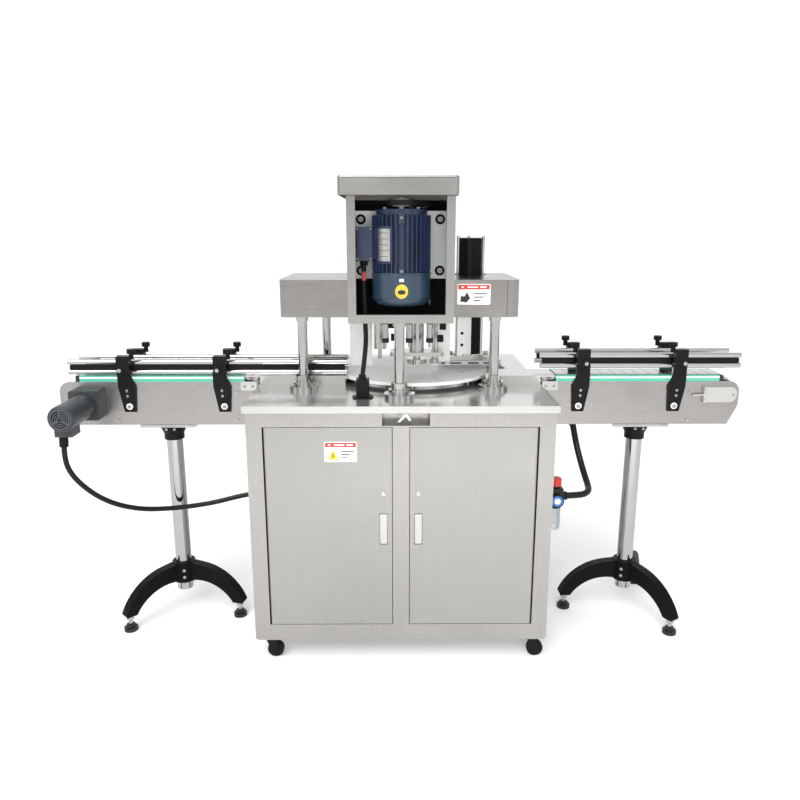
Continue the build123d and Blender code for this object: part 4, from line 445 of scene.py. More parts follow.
# ---------------------------------------------------------------------------
# Cabinet: welded square tube frame, side and rear panels, thick deck plate.
# Stainless steel, brushed with a belt along each length, TIG welded and the
# welds ground back. The deck plate is polished and bolted down.
# ---------------------------------------------------------------------------
def dress(node, material):
    """Gives a CAD node its finish."""
    holder = nodes[node]
    if not holder.material_slots:
        holder.data.materials.append(material)
    for held in holder.material_slots:
        held.material = material


STEEL = (0.56, 0.55, 0.535)
BRIGHT_STEEL = (0.70, 0.695, 0.68)
upright_brush = finish_of(
    "steel_brushed_upright", STEEL, 0.30, 1.0, stretch=(1.0, 1.0, 0.03), fineness=420.0, smudge_scale=3.5,
    spread=0.10, rough_spread=0.25, bump=0.12, depth=0.00015,
)
level_brush = finish_of(
    "steel_brushed_level", STEEL, 0.30, 1.0, stretch=(0.03, 1.0, 1.0), fineness=420.0, smudge_scale=4.0,
    spread=0.10, rough_spread=0.25, bump=0.12, depth=0.00015,
)
deck_polish = finish_of(
    "steel_deck_polish", (0.72, 0.715, 0.70), 0.18, 0.85, stretch=(0.05, 1.0, 1.0), fineness=300.0,
    smudge_scale=5.0,
    spread=0.06, rough_spread=0.30, bump=0.05, depth=0.00012,
)
dress("cabinet_frame", upright_brush)
dress("cabinet_panels", upright_brush)
dress("deck_plate", deck_polish)


def shaped(name, verts, faces, material, body, smooth=False):
    """A piece from its own corners and faces, riding on a body."""
    data = bpy.data.meshes.new(name)
    data.from_pydata([tuple(v) for v in verts], [], faces)
    form = bmesh.new()
    form.from_mesh(data)
    bmesh.ops.remove_doubles(form, verts=form.verts, dist=1e-6)
    bmesh.ops.recalc_face_normals(form, faces=form.faces)
    form.to_mesh(data)
    form.free()
    data.materials.append(material)
    if smooth:
        data.shade_smooth()
    made = link_in(bpy.data.objects.new(name, data))
    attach(made, body)
    return made


def rounded_plate(name, low, high, corner, material, body, thin="y", steps=6):
    """A flat plate with rounded corners, thin along one axis."""
    flat = {"x": (1, 2, 0), "y": (0, 2, 1), "z": (0, 1, 2)}[thin]
    a0, b0 = low[flat[0]], low[flat[1]]
    a1, b1 = high[flat[0]], high[flat[1]]
    outline = []
    for ca, cb, start in (
        (a1 - corner, b1 - corner, 0.0),
        (a0 + corner, b1 - corner, 0.5),
        (a0 + corner, b0 + corner, 1.0),
        (a1 - corner, b0 + corner, 1.5),
    ):
        for step in range(steps + 1):
            turn = math.pi * (start + 0.5 * step / steps)
            outline.append((ca + corner * math.cos(turn), cb + corner * math.sin(turn)))
    verts = []
    for depth in (low[flat[2]], high[flat[2]]):
        for a, b in outline:
            place = [0.0, 0.0, 0.0]
            place[flat[0]], place[flat[1]], place[flat[2]] = a, b, depth
            verts.append(place)
    count = len(outline)
    faces = [list(range(count)), list(range(count, 2 * count))]
    faces += [(i, (i + 1) % count, count + (i + 1) % count, count + i) for i in range(count)]
    made = shaped(name, verts, faces, material, body)
    edge = made.modifiers.new("eased_edge", "BEVEL")
    edge.width = min(0.0004, 0.2 * abs(high[flat[2]] - low[flat[2]]))
    edge.segments = 2
    edge.limit_method = "ANGLE"
    return made


def turned(name, profile, centre, axis, material, body, sides=48):
    """A turned piece: profile of (radius, height) spun round an axis."""
    verts = []
    faces = []
    frames = {
        "z": (Vector((1, 0, 0)), Vector((0, 1, 0)), Vector((0, 0, 1))),
        "y": (Vector((1, 0, 0)), Vector((0, 0, 1)), Vector((0, 1, 0))),
        "x": (Vector((0, 1, 0)), Vector((0, 0, 1)), Vector((1, 0, 0))),
    }[axis]
    middle = Vector(centre)
    for radius, height in profile:
        for side in range(sides):
            turn = 2 * math.pi * side / sides
            verts.append(
                middle
                + frames[0] * (radius * math.cos(turn))
                + frames[1] * (radius * math.sin(turn))
                + frames[2] * height
            )
    for ring in range(len(profile) - 1):
        for side in range(sides):
            after = (side + 1) % sides
            faces.append(
                (
                    ring * sides + side, ring * sides + after, (ring + 1) * sides + after,
                    (ring + 1) * sides + side
                )
            )
    faces.append(tuple(range(sides)))
    faces.append(tuple((len(profile) - 1) * sides + side for side in range(sides)))
    made = shaped(name, verts, faces, material, body)
    made.data.shade_smooth()
    sharp = made.modifiers.new("kept_edges", "EDGE_SPLIT")
    sharp.split_angle = math.radians(35.0)
    return made


# The cable clip in the slot under the deck: a bent strip of bright steel on
# a white nylon block, riveted through the top rail.
bright_plate = finish_of(
    "bright_plating", (0.80, 0.80, 0.79), 0.12, 1.0, fineness=250.0, smudge_scale=30.0, spread=0.06, bump=0.03
)
white_nylon = finish_of(
    "white_nylon", (0.82, 0.82, 0.80), 0.45, fineness=500.0, smudge_scale=25.0, spread=0.05, bump=0.12,
    depth=0.0002
)
frame_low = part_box("cabinet_frame")[0]
CLIP_X = 0.012
CLIP_TOP = 0.786
clip_front = frame_low[1] - 0.001
shaped(
    "slot_clip_strap",
    [
        (CLIP_X - 0.022, clip_front, CLIP_TOP - 0.024), (CLIP_X - 0.014, clip_front, CLIP_TOP - 0.024),
        (CLIP_X + 0.002, clip_front, CLIP_TOP - 0.006), (CLIP_X + 0.010, clip_front, CLIP_TOP - 0.020),
        (CLIP_X + 0.018, clip_front, CLIP_TOP - 0.020), (CLIP_X + 0.006, clip_front, CLIP_TOP),
        (CLIP_X - 0.002, clip_front, CLIP_TOP),
        (CLIP_X - 0.022, clip_front + 0.006, CLIP_TOP - 0.024),
        (CLIP_X - 0.014, clip_front + 0.006, CLIP_TOP - 0.024),
        (CLIP_X + 0.002, clip_front + 0.006, CLIP_TOP - 0.006),
        (CLIP_X + 0.010, clip_front + 0.006, CLIP_TOP - 0.020),
        (CLIP_X + 0.018, clip_front + 0.006, CLIP_TOP - 0.020),
        (CLIP_X + 0.006, clip_front + 0.006, CLIP_TOP),
        (CLIP_X - 0.002, clip_front + 0.006, CLIP_TOP),
    ],
    [
        (0, 1, 2, 6), (2, 3, 4, 5), (2, 5, 6), (7, 13, 9, 8), (9, 12, 11, 10), (9, 13, 12),
        (0, 7, 8, 1), (1, 8, 9, 2), (2, 9, 10, 3), (3, 10, 11, 4), (4, 11, 12, 5), (5, 12, 13, 6),
        (6, 13, 7, 0),
    ],
    bright_plate,
    "machine",
)


# ---------------------------------------------------------------------------
# Doors and their handles.
# Stainless sheet pans hung on pins in the posts, each with a flush lift
# handle in a pressed dish, a cam lock above it and, on the left, a label.
# ---------------------------------------------------------------------------
door_brush = finish_of(
    "steel_door_brush", (0.545, 0.54, 0.52), 0.34, 1.0, stretch=(1.0, 1.0, 0.02), fineness=520.0,
    smudge_scale=2.2,
    spread=0.09, rough_spread=0.30, bump=0.10, depth=0.00012,
)
for side in ("left", "right"):
    dress(f"{side}_door", door_brush)
    dress(f"{side}_door_handle", bright_plate)
dress("door_hinge_pins", bright_plate)

LOCK_RISE = 0.062
LOCK_RADIUS = 0.0065
KEY_RADIUS = 0.0022
for side in ("left", "right"):
    handle_low, handle_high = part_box(f"{side}_door_handle")
    door_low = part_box(f"{side}_door")[0]
    lock_x = 0.5 * (handle_low[0] + handle_high[0])
    turned(
        f"{side}_cam_lock",
        [
            (0.0, 0.0), (LOCK_RADIUS, 0.0), (LOCK_RADIUS, -0.0012), (LOCK_RADIUS - 0.001, -0.002),
            (KEY_RADIUS, -0.002), (KEY_RADIUS, -0.0008), (0.0001, -0.0008),
        ],
        (lock_x, door_low[1], handle_high[2] + LOCK_RISE),
        "y",
        bright_plate,
        f"{side}_door",
    )

label_white = finish_of(
    "label_vinyl_white", (0.86, 0.86, 0.84), 0.30, fineness=600.0, smudge_scale=40.0, spread=0.03,
    bump=0.04, coat=0.4
)
label_red = finish_of(
    "label_ink_red", (0.62, 0.035, 0.03), 0.32, fineness=600.0, smudge_scale=40.0, spread=0.06, bump=0.04,
    coat=0.4
)
label_yellow = finish_of(
    "label_ink_yellow", (0.78, 0.52, 0.02), 0.32, fineness=600.0, smudge_scale=40.0, spread=0.05, bump=0.04,
    coat=0.4
)
label_black = finish_of(
    "label_ink_black", (0.02, 0.02, 0.02), 0.35, fineness=600.0, smudge_scale=40.0, spread=0.10, bump=0.04,
    coat=0.4
)


def outlined(name, points, y, thick, material, body):
    """A thin printed or cut shape facing forward."""
    count = len(points)
    verts = [(x, y, z) for x, z in points] + [(x, y - thick, z) for x, z in points]
    faces = [tuple(range(count)), tuple(range(count, 2 * count))]
    faces += [(i, (i + 1) % count, count + (i + 1) % count, count + i) for i in range(count)]
    return shaped(name, verts, faces, material, body)


def safety_label(name, x0, x1, z0, z1, y, body, sign):
    """A white vinyl label with a red header bar and a plain sign under it."""
    rounded_plate(f"{name}_vinyl", (x0, y - 0.0004, z0), (x1, y, z1), 0.004, label_white, body)
    head = z1 - 0.26 * (z1 - z0)
    inset = 0.0025
    front = y - 0.0004
    rounded_plate(
        f"{name}_header", (x0 + inset, front - 0.0002, head), (x1 - inset, front, z1 - inset), 0.002,
        label_red, body
    )
    wide = x1 - x0
    tall = head - z0
    for bar, (start, end) in enumerate(((0.12, 0.20), (0.30, 0.62), (0.68, 0.88))):
        rounded_plate(
            f"{name}_header_bar_{bar}",
            (x0 + start * wide, front - 0.0004, head + 0.35 * (z1 - inset - head)),
            (x0 + end * wide, front - 0.0002, head + 0.65 * (z1 - inset - head)),
            0.0005,
            label_white,
            body,
            steps=2,
        )
    if sign == "triangle":
        mid = x0 + 0.27 * wide
        outlined(
            f"{name}_triangle",
            [
                (mid - 0.16 * wide, z0 + 0.16 * tall), (mid + 0.16 * wide, z0 + 0.16 * tall),
                (mid, z0 + 0.84 * tall)
            ],
            front, 0.0002, label_yellow, body,
        )
        outlined(
            f"{name}_mark",
            [(mid - 0.02 * wide, z0 + 0.28 * tall), (mid + 0.02 * wide, z0 + 0.28 * tall),
             (mid + 0.012 * wide, z0 + 0.60 * tall), (mid - 0.012 * wide, z0 + 0.60 * tall)],
            front - 0.0002, 0.0002, label_black, body,
        )
        start = 0.52
    else:
        mid = x0 + 0.24 * wide
        outlined(
            f"{name}_hand",
            [(mid - 0.15 * wide, z0 + 0.20 * tall), (mid + 0.04 * wide, z0 + 0.14 * tall),
             (mid + 0.15 * wide, z0 + 0.42 * tall), (mid + 0.05 * wide, z0 + 0.82 * tall),
             (mid - 0.03 * wide, z0 + 0.52 * tall), (mid - 0.12 * wide, z0 + 0.60 * tall)],
            front, 0.0002, label_black, body,
        )
        start = 0.50
    for row in range(3):
        rise = z0 + tall * (0.68 - 0.22 * row)
        rounded_plate(
            f"{name}_row_{row}",
            (x0 + start * wide, front - 0.0002, rise),
            (x0 + (0.90 - 0.10 * row) * wide, front, rise + 0.07 * tall),
            0.0004,
            label_black,
            body,
            steps=2,
        )


left_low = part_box("left_door")[0]
safety_label("door_label", -0.220, -0.126, 0.644, 0.704, left_low[1] - 0.0001, "left_door", "triangle")


# ---------------------------------------------------------------------------
# Castors.
# Forks that swivel under the corner plates, black in front and zinc plated
# behind, with black rubber tyres and bright axle caps.
# ---------------------------------------------------------------------------
zinc_plate = finish_of(
    "zinc_plating", (0.55, 0.56, 0.57), 0.30, 1.0, fineness=260.0, smudge_scale=45.0, spread=0.14, bump=0.10
)
castor_black = finish_of(
    "castor_rubber", (0.007, 0.007, 0.008), 0.55, gloss=0.2, fineness=700.0, smudge_scale=30.0, spread=0.25,
    bump=0.35
)
for place in ("front_left", "front_right", "rear_left", "rear_right"):
    dress(f"{place}_castor_fork", castor_black if place.startswith("front") else zinc_plate)
    dress(f"{place}_castor_wheel", castor_black)
    wheel_low, wheel_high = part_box(f"{place}_castor_wheel")
    wheel_x = 0.5 * (wheel_low[0] + wheel_high[0])
    wheel_z = 0.5 * (wheel_low[2] + wheel_high[2])
    if place.startswith("front"):
        turned(
            f"{place}_axle_cap",
            [(0.0070, 0.0), (0.0070, -0.0012), (0.0058, -0.0022), (0.0004, -0.0024)],
            (wheel_x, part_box(f"{place}_castor_fork")[0][1] + 0.0026, wheel_z), "y", bright_plate,
            f"{place}_castor_wheel", sides=20,
        )


# ---------------------------------------------------------------------------
# Table base and turntable.
# A ring of posts under a polished rim wall, rubber edging where it meets the
# deck, and a white acetal disc with shallow pockets turning inside.
# ---------------------------------------------------------------------------
base_steel = finish_of(
    "steel_rim_polish", BRIGHT_STEEL, 0.14, 1.0, fineness=300.0, smudge_scale=9.0, spread=0.08, bump=0.04,
    zones=[((None, None, None), (None, None, 0.8142), (0.03, 0.03, 0.03), 0.6, 0.0)],
)
disc_acetal = finish_of(
    "white_acetal", (0.80, 0.80, 0.78), 0.34, fineness=400.0, smudge_scale=9.0, spread=0.05, rough_spread=0.3,
    bump=0.06, zones=[((None, None, None), (None, None, 0.8296), BRIGHT_STEEL, 0.20, 1.0)],
)
dress("table_base", base_steel)
dress("turntable", disc_acetal)
dress(
    "drive_gearbox",
    finish_of("gearbox_enamel", (0.10, 0.16, 0.22), 0.42, fineness=350.0, smudge_scale=14.0, bump=0.3)
)


# ---------------------------------------------------------------------------
# Columns.
# Ground and polished stainless bar in two-tier flanges, each held down by
# socket screws, with a split collar under the casing.
# ---------------------------------------------------------------------------
column_polish = finish_of(
    "steel_column_polish", (0.70, 0.69, 0.68), 0.10, 1.0, stretch=(1.0, 1.0, 0.1), fineness=200.0,
    smudge_scale=10.0,
    spread=0.06, rough_spread=0.4, bump=0.03,
)
dress("columns", column_polish)


# ---------------------------------------------------------------------------
# Bridge casing.
# A box folded from 1.5 mm stainless with rounded ends, spot welded to its
# top, carried by the five columns, with a warning label on its front.
# ---------------------------------------------------------------------------
casing_brush = finish_of(
    "steel_casing_brush", (0.44, 0.43, 0.415), 0.22, 1.0, stretch=(0.03, 0.03, 1.0), fineness=420.0,
    smudge_scale=3.0,
    spread=0.30, rough_spread=0.35, bump=0.12, depth=0.00015,
)
dress("bridge_casing", casing_brush)
casing_low, casing_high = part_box("bridge_casing")
safety_label("casing_label", 0.169, 0.268, 1.074, 1.135, casing_low[1] - 0.0001, "machine", "hand")
dark_seam = finish_of("dark_seam", (0.05, 0.05, 0.05), 0.6, fineness=300.0, smudge_scale=20.0, spread=0.2)
SEAM_X = 0.318
rounded_plate(
    "casing_seam",
    (SEAM_X, casing_low[1] - 0.0004, casing_low[2] + 0.002),
    (SEAM_X + 0.0016, casing_low[1] - 0.00005, casing_high[2] - 0.002),
    0.0004, dark_seam, "machine", steps=2,
)


# ---------------------------------------------------------------------------
# Motor frame, cap and sliding motor plate.
# A folded channel frame under a box cap, and a painted steel plate that
# jacking screws push back to tighten the belt.
# ---------------------------------------------------------------------------
# The frame's inner faces are painted near black: painted shade, standing in for the dark hollow inside the
# box.
dress("motor_frame", finish_of(
    "steel_frame_painted_shade_inside", STEEL, 0.30, 1.0, stretch=(1.0, 1.0, 0.03), fineness=420.0, smudge_scale=3.5,
    spread=0.10, rough_spread=0.25, bump=0.12, depth=0.00015,
    zones=[((-0.1475, -0.170, 1.140), (0.1475, 0.0262, None), (0.012, 0.012, 0.013), 0.55, 0.0)],
))
dress("top_cap", level_brush)
# Black paint for the jack screw washers, also used for the painted shade sheet below the motor plate.
black_paint_and_shade = finish_of(
    "black_paint_and_painted_shade", (0.004, 0.004, 0.0045), 0.6, fineness=400.0, smudge_scale=12.0, spread=0.2,
    bump=0.15, gloss=0.15
)
frame_box_low, frame_box_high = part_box("motor_frame")
plate_low, plate_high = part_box("motor_plate")
SHADE_SHEET_Y = -0.1705
# A black sheet across the opening below the motor plate: painted shade, standing in for the shadowed inside
# of the box.
rounded_plate(
    "frame_liner",
    (frame_box_low[0] + 0.0035, SHADE_SHEET_Y, frame_box_low[2] + 0.0035),
    (frame_box_high[0] - 0.0035, SHADE_SHEET_Y + 0.0015, plate_low[2] + 0.004),
    0.001, black_paint_and_shade, "machine", steps=2,
)
plate_paint = finish_of(
    "plate_grey_paint", (0.80, 0.84, 0.83), 0.38, fineness=380.0, smudge_scale=9.0, spread=0.05, bump=0.18
)
dress("motor_plate", plate_paint)
cap_low, cap_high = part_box("top_cap")
rounded_plate(
    "cap_seam",
    (cap_low[0] + 0.012, cap_low[1] - 0.0004, cap_high[2] - 0.0065),
    (cap_high[0] - 0.012, cap_low[1] - 0.00005, cap_high[2] - 0.0055),
    0.0003, dark_seam, "machine", steps=2,
)


# ---------------------------------------------------------------------------
# Main motor.
# A cast finned aluminium body in dark blue enamel, with a pressed steel fan
# cover below and a terminal box on the side.
# ---------------------------------------------------------------------------
navy_enamel = finish_of(
    "navy_enamel", (0.016, 0.026, 0.060), 0.34, fineness=420.0, smudge_scale=16.0, spread=0.22, bump=0.30,
    depth=0.0003, coat=0.35,
)
cover_enamel = finish_of(
    "cover_enamel", (0.022, 0.045, 0.072), 0.22, fineness=300.0, smudge_scale=12.0, spread=0.20, bump=0.10,
    depth=0.0003, coat=0.6,
)
dress("motor_body", navy_enamel)
dress("fan_cover", cover_enamel)
dress("motor_rotor", finish_of(
    "rotor_steel", (0.55, 0.55, 0.54), 0.30, 1.0, fineness=300.0, smudge_scale=20.0, spread=0.12,
    zones=[((None, None, None), (None, None, 1.150), (0.02, 0.02, 0.02), 0.5, 0.0)],
))
dress("drive_belt", finish_of(
    "belt_rubber", (0.016, 0.016, 0.017), 0.65, stretch=(1.0, 1.0, 6.0), fineness=300.0, smudge_scale=30.0,
    spread=0.3, bump=0.4,
))
cover_low, cover_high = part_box("fan_cover")
cover_x = 0.5 * (cover_low[0] + cover_high[0])
cover_y = 0.5 * (cover_low[1] + cover_high[1])
COVER_RADIUS = 0.5 * (cover_high[0] - cover_low[0])


def wrapped_patch(name, middle, radius, across, up, offset, material, body, oval=True, steps=20):
    """A thin oval or rectangular label laid round an upright cylinder."""
    around = []
    for step in range(4 * steps):
        turn = 2 * math.pi * step / (4 * steps)
        if oval:
            around.append((0.5 * across * math.cos(turn), 0.5 * up * math.sin(turn)))
    if not oval:
        for step in range(steps + 1):
            around.append((across * (step / steps - 0.5), -0.5 * up))
        for step in range(steps + 1):
            around.append((across * (0.5 - step / steps), 0.5 * up))
    ring = []
    for flat, rise in around:
        turn = flat / radius
        out = radius + offset
        ring.append(
            (middle[0] + out * math.sin(turn), middle[1] - out * math.cos(turn), middle[2] + rise)
        )
    if oval:
        ring_count = len(ring)
        verts = ring + [(middle[0], middle[1] - radius - offset, middle[2])]
        faces = [(i, (i + 1) % ring_count, ring_count) for i in range(ring_count)]
    else:
        verts = ring
        last = len(ring) - 1
        faces = [(i, i + 1, last - i - 1, last - i) for i in range(steps)]
    data = bpy.data.meshes.new(name)
    data.from_pydata(verts, [], faces)
    data.materials.append(material)
    made = link_in(bpy.data.objects.new(name, data))
    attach(made, body)
    return made


label_gold = finish_of(
    "label_foil_gold", (0.72, 0.52, 0.06), 0.30, 0.3, fineness=500.0, smudge_scale=60.0, spread=0.08,
    bump=0.05
)
label_silver = finish_of(
    "label_foil_silver", (0.70, 0.70, 0.69), 0.28, 0.9, fineness=500.0, smudge_scale=60.0, spread=0.12,
    bump=0.08
)
COVER_LABEL_Z = 1.124
wrapped_patch(
    "cover_oval", (cover_x, cover_y, COVER_LABEL_Z), COVER_RADIUS, 0.036, 0.040, 0.0006, label_gold,
    "machine"
)
wrapped_patch(
    "cover_oval_mark", (cover_x, cover_y, COVER_LABEL_Z - 0.002), COVER_RADIUS, 0.022, 0.013, 0.0010,
    label_black, "machine"
)
wrapped_patch(
    "cover_tab", (cover_x, cover_y, COVER_LABEL_Z + 0.031), COVER_RADIUS, 0.012, 0.008, 0.0006, label_white,
    "machine", oval=False
)


# ---------------------------------------------------------------------------
# Seaming head, spindle and roller arms.
# Turned and milled steel round the chuck, with two white acetal side plates,
# and a small air cylinder that puts the lids on.
# ---------------------------------------------------------------------------
head_steel = finish_of(
    "head_machined_steel", (0.66, 0.655, 0.64), 0.20, 1.0, fineness=260.0, smudge_scale=20.0, spread=0.12,
    bump=0.06,
    zones=[
        ((-0.168, -0.0262, 0.840), (-0.090, -0.0198, 1.040), (0.80, 0.80, 0.79), 0.35, 0.0),
        ((0.102, -0.0262, 0.840), (0.168, -0.0198, 1.040), (0.80, 0.80, 0.79), 0.35, 0.0),
    ],
)
dress("seaming_head", head_steel)
dress("seaming_spindle", column_polish)
dress("left_roller_arm", head_steel)
dress("right_roller_arm", head_steel)
dress("lid_pusher", bright_plate)


# ---------------------------------------------------------------------------
# Lid magazine and its stack of lids.
# Three chrome rods on a grey feeder base, with a white hanger plate behind,
# and a tall stack of black lacquered lids.
# ---------------------------------------------------------------------------
dress("lid_magazine", finish_of(
    "magazine_parts", (0.76, 0.76, 0.75), 0.14, 1.0, fineness=250.0, smudge_scale=24.0, spread=0.08,
    bump=0.04,
    zones=[
        ((None, None, 0.840), (None, None, 0.8665), (0.62, 0.63, 0.64), 0.35, 0.0),
        ((0.190, 0.0965, 0.840), (0.270, 0.110, 1.040), (0.80, 0.80, 0.79), 0.35, 0.0),
    ],
))


def repeat_tree(name, make_points):
    """A tree that puts copies of a piece on points and gives them a finish."""
    tree = bpy.data.node_groups.new(name, "GeometryNodeTree")
    tree.interface.new_socket("Geometry", in_out="INPUT", socket_type="NodeSocketGeometry")
    tree.interface.new_socket("Piece", in_out="INPUT", socket_type="NodeSocketObject")
    tree.interface.new_socket("Finish", in_out="INPUT", socket_type="NodeSocketMaterial")
    tree.interface.new_socket("Geometry", in_out="OUTPUT", socket_type="NodeSocketGeometry")
    given = tree.nodes.new("NodeGroupInput")
    put = tree.nodes.new("NodeGroupOutput")
    piece = tree.nodes.new("GeometryNodeObjectInfo")
    copies = tree.nodes.new("GeometryNodeInstanceOnPoints")
    solid = tree.nodes.new("GeometryNodeRealizeInstances")
    painted = tree.nodes.new("GeometryNodeSetMaterial")
    tree.links.new(given.outputs["Piece"], piece.inputs["Object"])
    tree.links.new(piece.outputs["Geometry"], copies.inputs["Instance"])
    make_points(tree, given, copies)
    tree.links.new(copies.outputs["Instances"], solid.inputs["Geometry"])
    tree.links.new(solid.outputs["Geometry"], painted.inputs["Geometry"])
    tree.links.new(given.outputs["Finish"], painted.inputs["Material"])
    tree.links.new(painted.outputs["Geometry"], put.inputs["Geometry"])
    return tree


def points_given(tree, given, copies):
    """Copies on the corners of the given mesh, all turned alike."""
    tree.links.new(given.outputs["Geometry"], copies.inputs["Points"])


def points_in_row(tree, given, copies):
    """Copies in a straight row from Start, one Step apart."""
    tree.interface.new_socket("Count", in_out="INPUT", socket_type="NodeSocketInt")
    tree.interface.new_socket("Start", in_out="INPUT", socket_type="NodeSocketVector")
    tree.interface.new_socket("Step", in_out="INPUT", socket_type="NodeSocketVector")
    row = tree.nodes.new("GeometryNodeMeshLine")
    tree.links.new(given.outputs["Count"], row.inputs["Count"])
    tree.links.new(given.outputs["Start"], row.inputs["Start Location"])
    tree.links.new(given.outputs["Step"], row.inputs["Offset"])
    tree.links.new(row.outputs["Mesh"], copies.inputs["Points"])


GIVEN_TREE = repeat_tree("copies_on_corners", points_given)
ROW_TREE = repeat_tree("copies_in_a_row", points_in_row)


def kept_shape(name, tree, piece, material, body, corners=(), **sizes):
    """Runs a tree once and keeps its result as a plain mesh on a body."""
    data = bpy.data.meshes.new(f"{name}_seed")
    data.from_pydata([tuple(corner) for corner in corners], [], [])
    made = link_in(bpy.data.objects.new(name, data))
    grow = made.modifiers.new("grow", "NODES")
    grow.node_group = tree
    values = {"Piece": piece, "Finish": material, **sizes}
    for item in tree.interface.items_tree:
        if item.in_out == "INPUT" and item.name in values:
            grow[item.identifier] = values[item.name]
    evaluated = made.evaluated_get(bpy.context.evaluated_depsgraph_get())
    result = bpy.data.meshes.new_from_object(evaluated)
    made.modifiers.clear()
    made.data = result
    bpy.data.objects.remove(piece, do_unlink=True)
    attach(made, body)
    return made


def loose_turned(profile, axis="z", sides=24):
    """A small turned piece at the origin, to be copied about."""
    frames = {"z": (0, 1, 2), "y": (0, 2, 1), "x": (1, 2, 0)}[axis]
    form = bmesh.new()
    rings = []
    for radius, height in profile:
        ring = []
        for side in range(sides):
            turn = 2 * math.pi * side / sides
            place = [0.0, 0.0, 0.0]
            place[frames[0]] = radius * math.cos(turn)
            place[frames[1]] = radius * math.sin(turn)
            place[frames[2]] = height
            ring.append(form.verts.new(place))
        rings.append(ring)
    for lower, upper in zip(rings, rings[1:]):
        for side in range(sides):
            after = (side + 1) % sides
            form.faces.new((lower[side], lower[after], upper[after], upper[side]))
    form.faces.new(rings[0])
    form.faces.new(rings[-1])
    bmesh.ops.recalc_face_normals(form, faces=form.faces)
    data = bpy.data.meshes.new("loose_piece")
    form.to_mesh(data)
    form.free()
    return link_in(bpy.data.objects.new("loose_piece", data))


lid_lacquer = finish_of(
    "lid_black_lacquer", (0.005, 0.005, 0.0055), 0.24, fineness=300.0, smudge_scale=30.0, spread=0.3,
    bump=0.08,
    gloss=0.4
)
stack_low, stack_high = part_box("lid_stack")
LID_PITCH = 0.0052
lid_radius = 0.5 * (stack_high[0] - stack_low[0])
lid_count = int((stack_high[2] - stack_low[2]) / LID_PITCH)
stack_x = 0.5 * (stack_low[0] + stack_high[0])
stack_y = 0.5 * (stack_low[1] + stack_high[1])
one_lid = loose_turned(
    [
        (0.86 * lid_radius, 0.0008), (0.90 * lid_radius, 0.0), (0.985 * lid_radius, 0.0004),
        (lid_radius, 0.0016),
        (lid_radius, 0.0030), (0.985 * lid_radius, 0.0040), (0.93 * lid_radius, 0.0044),
        (0.90 * lid_radius, 0.0050),
    ],
    sides=48,
)
lids = kept_shape(
    "stacked_lids", ROW_TREE, one_lid, lid_lacquer, "machine",
    Count=lid_count, Start=(stack_x, stack_y, stack_low[2]), Step=(0.0, 0.0, LID_PITCH),
)
lids.data.shade_smooth()
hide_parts("lid_stack")


# ---------------------------------------------------------------------------
# Conveyors.
# Folded stainless side plates with rounded noses, a slat chain round
# sprockets, and green wear strips on the lane's two edges.
# ---------------------------------------------------------------------------
plate_brush = finish_of(
    "steel_plate_brush", (0.50, 0.485, 0.475), 0.28, 1.0, stretch=(0.03, 1.0, 1.0), fineness=460.0,
    smudge_scale=6.0,
    spread=0.12, rough_spread=0.3, bump=0.14, depth=0.00015,
)
dress("conveyor_side_plates", plate_brush)
dress("transfer_plates", deck_polish)
dress("conveyor_chains", finish_of(
    "chain_slat_steel", (0.60, 0.60, 0.59), 0.24, 1.0, stretch=(1.0, 0.1, 1.0), fineness=300.0,
    smudge_scale=16.0,
    spread=0.14, bump=0.12,
))
dress("drive_sprocket", zinc_plate)
dress("idler_sprocket", zinc_plate)
STRIP_GREEN = (0.10, 0.46, 0.34)
STRIP_HIGHLIGHT_Z = (0.8315, 0.8365)
strip_low, strip_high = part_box("wear_strips")
TIP = 0.012
# The pale band near the strips' top edge is a painted highlight.
dress("wear_strips", finish_of(
    "green_polyethylene", STRIP_GREEN, 0.36, fineness=350.0, smudge_scale=14.0, spread=0.08, bump=0.08,
    zones=[
        ((None, None, STRIP_HIGHLIGHT_Z[0]), (None, None, STRIP_HIGHLIGHT_Z[1]), (0.80, 0.84, 0.80), 0.3, 0.0),
        ((None, None, None), (strip_low[0] + TIP, None, None), (0.02, 0.02, 0.02), 0.5, 0.0),
        ((strip_high[0] - TIP, None, None), (None, None, None), (0.02, 0.02, 0.02), 0.5, 0.0),
    ],
))

CHAIN_PITCH = 0.0381
SLAT_LENGTH = CHAIN_PITCH * 0.93
SLAT_WIDTH = 0.0825
SLAT_THICK = 0.0012
slat_steel = finish_of(
    "slat_bright_steel", (0.66, 0.66, 0.65), 0.22, 1.0, stretch=(1.0, 0.08, 1.0), fineness=300.0,
    smudge_scale=18.0,
    spread=0.10, bump=0.10,
)


# ---------------------------------------------------------------------------
# Guide brackets and rails.
# Black glass-filled nylon brackets screwed to the side plates, clamp heads
# with locking knobs, plated cross rods and polished double rails.
# ---------------------------------------------------------------------------
# Black nylon for the brackets, clamps and glands, also used for the painted shade between the rails.
black_nylon_and_shade = finish_of(
    "black_glass_nylon_and_painted_shade", (0.006, 0.006, 0.007), 0.38, gloss=0.22, fineness=600.0, smudge_scale=28.0,
    spread=0.25, bump=0.30
)
dress("guide_brackets", black_nylon_and_shade)
rail_polish = finish_of(
    "steel_rail_polish", (0.66, 0.655, 0.65), 0.13, 1.0, stretch=(0.1, 1.0, 1.0), fineness=250.0,
    smudge_scale=12.0,
    spread=0.06, bump=0.04,
)
RAIL_Y = {"front": -0.133, "rear": -0.043}
RAIL_SHADE_BANDS = {"left": (0.8598, 0.8742), "right": (0.8798, 0.8942)}
RAIL_SHADE_HALF = 0.0055
RAIL_NOSE = 0.006
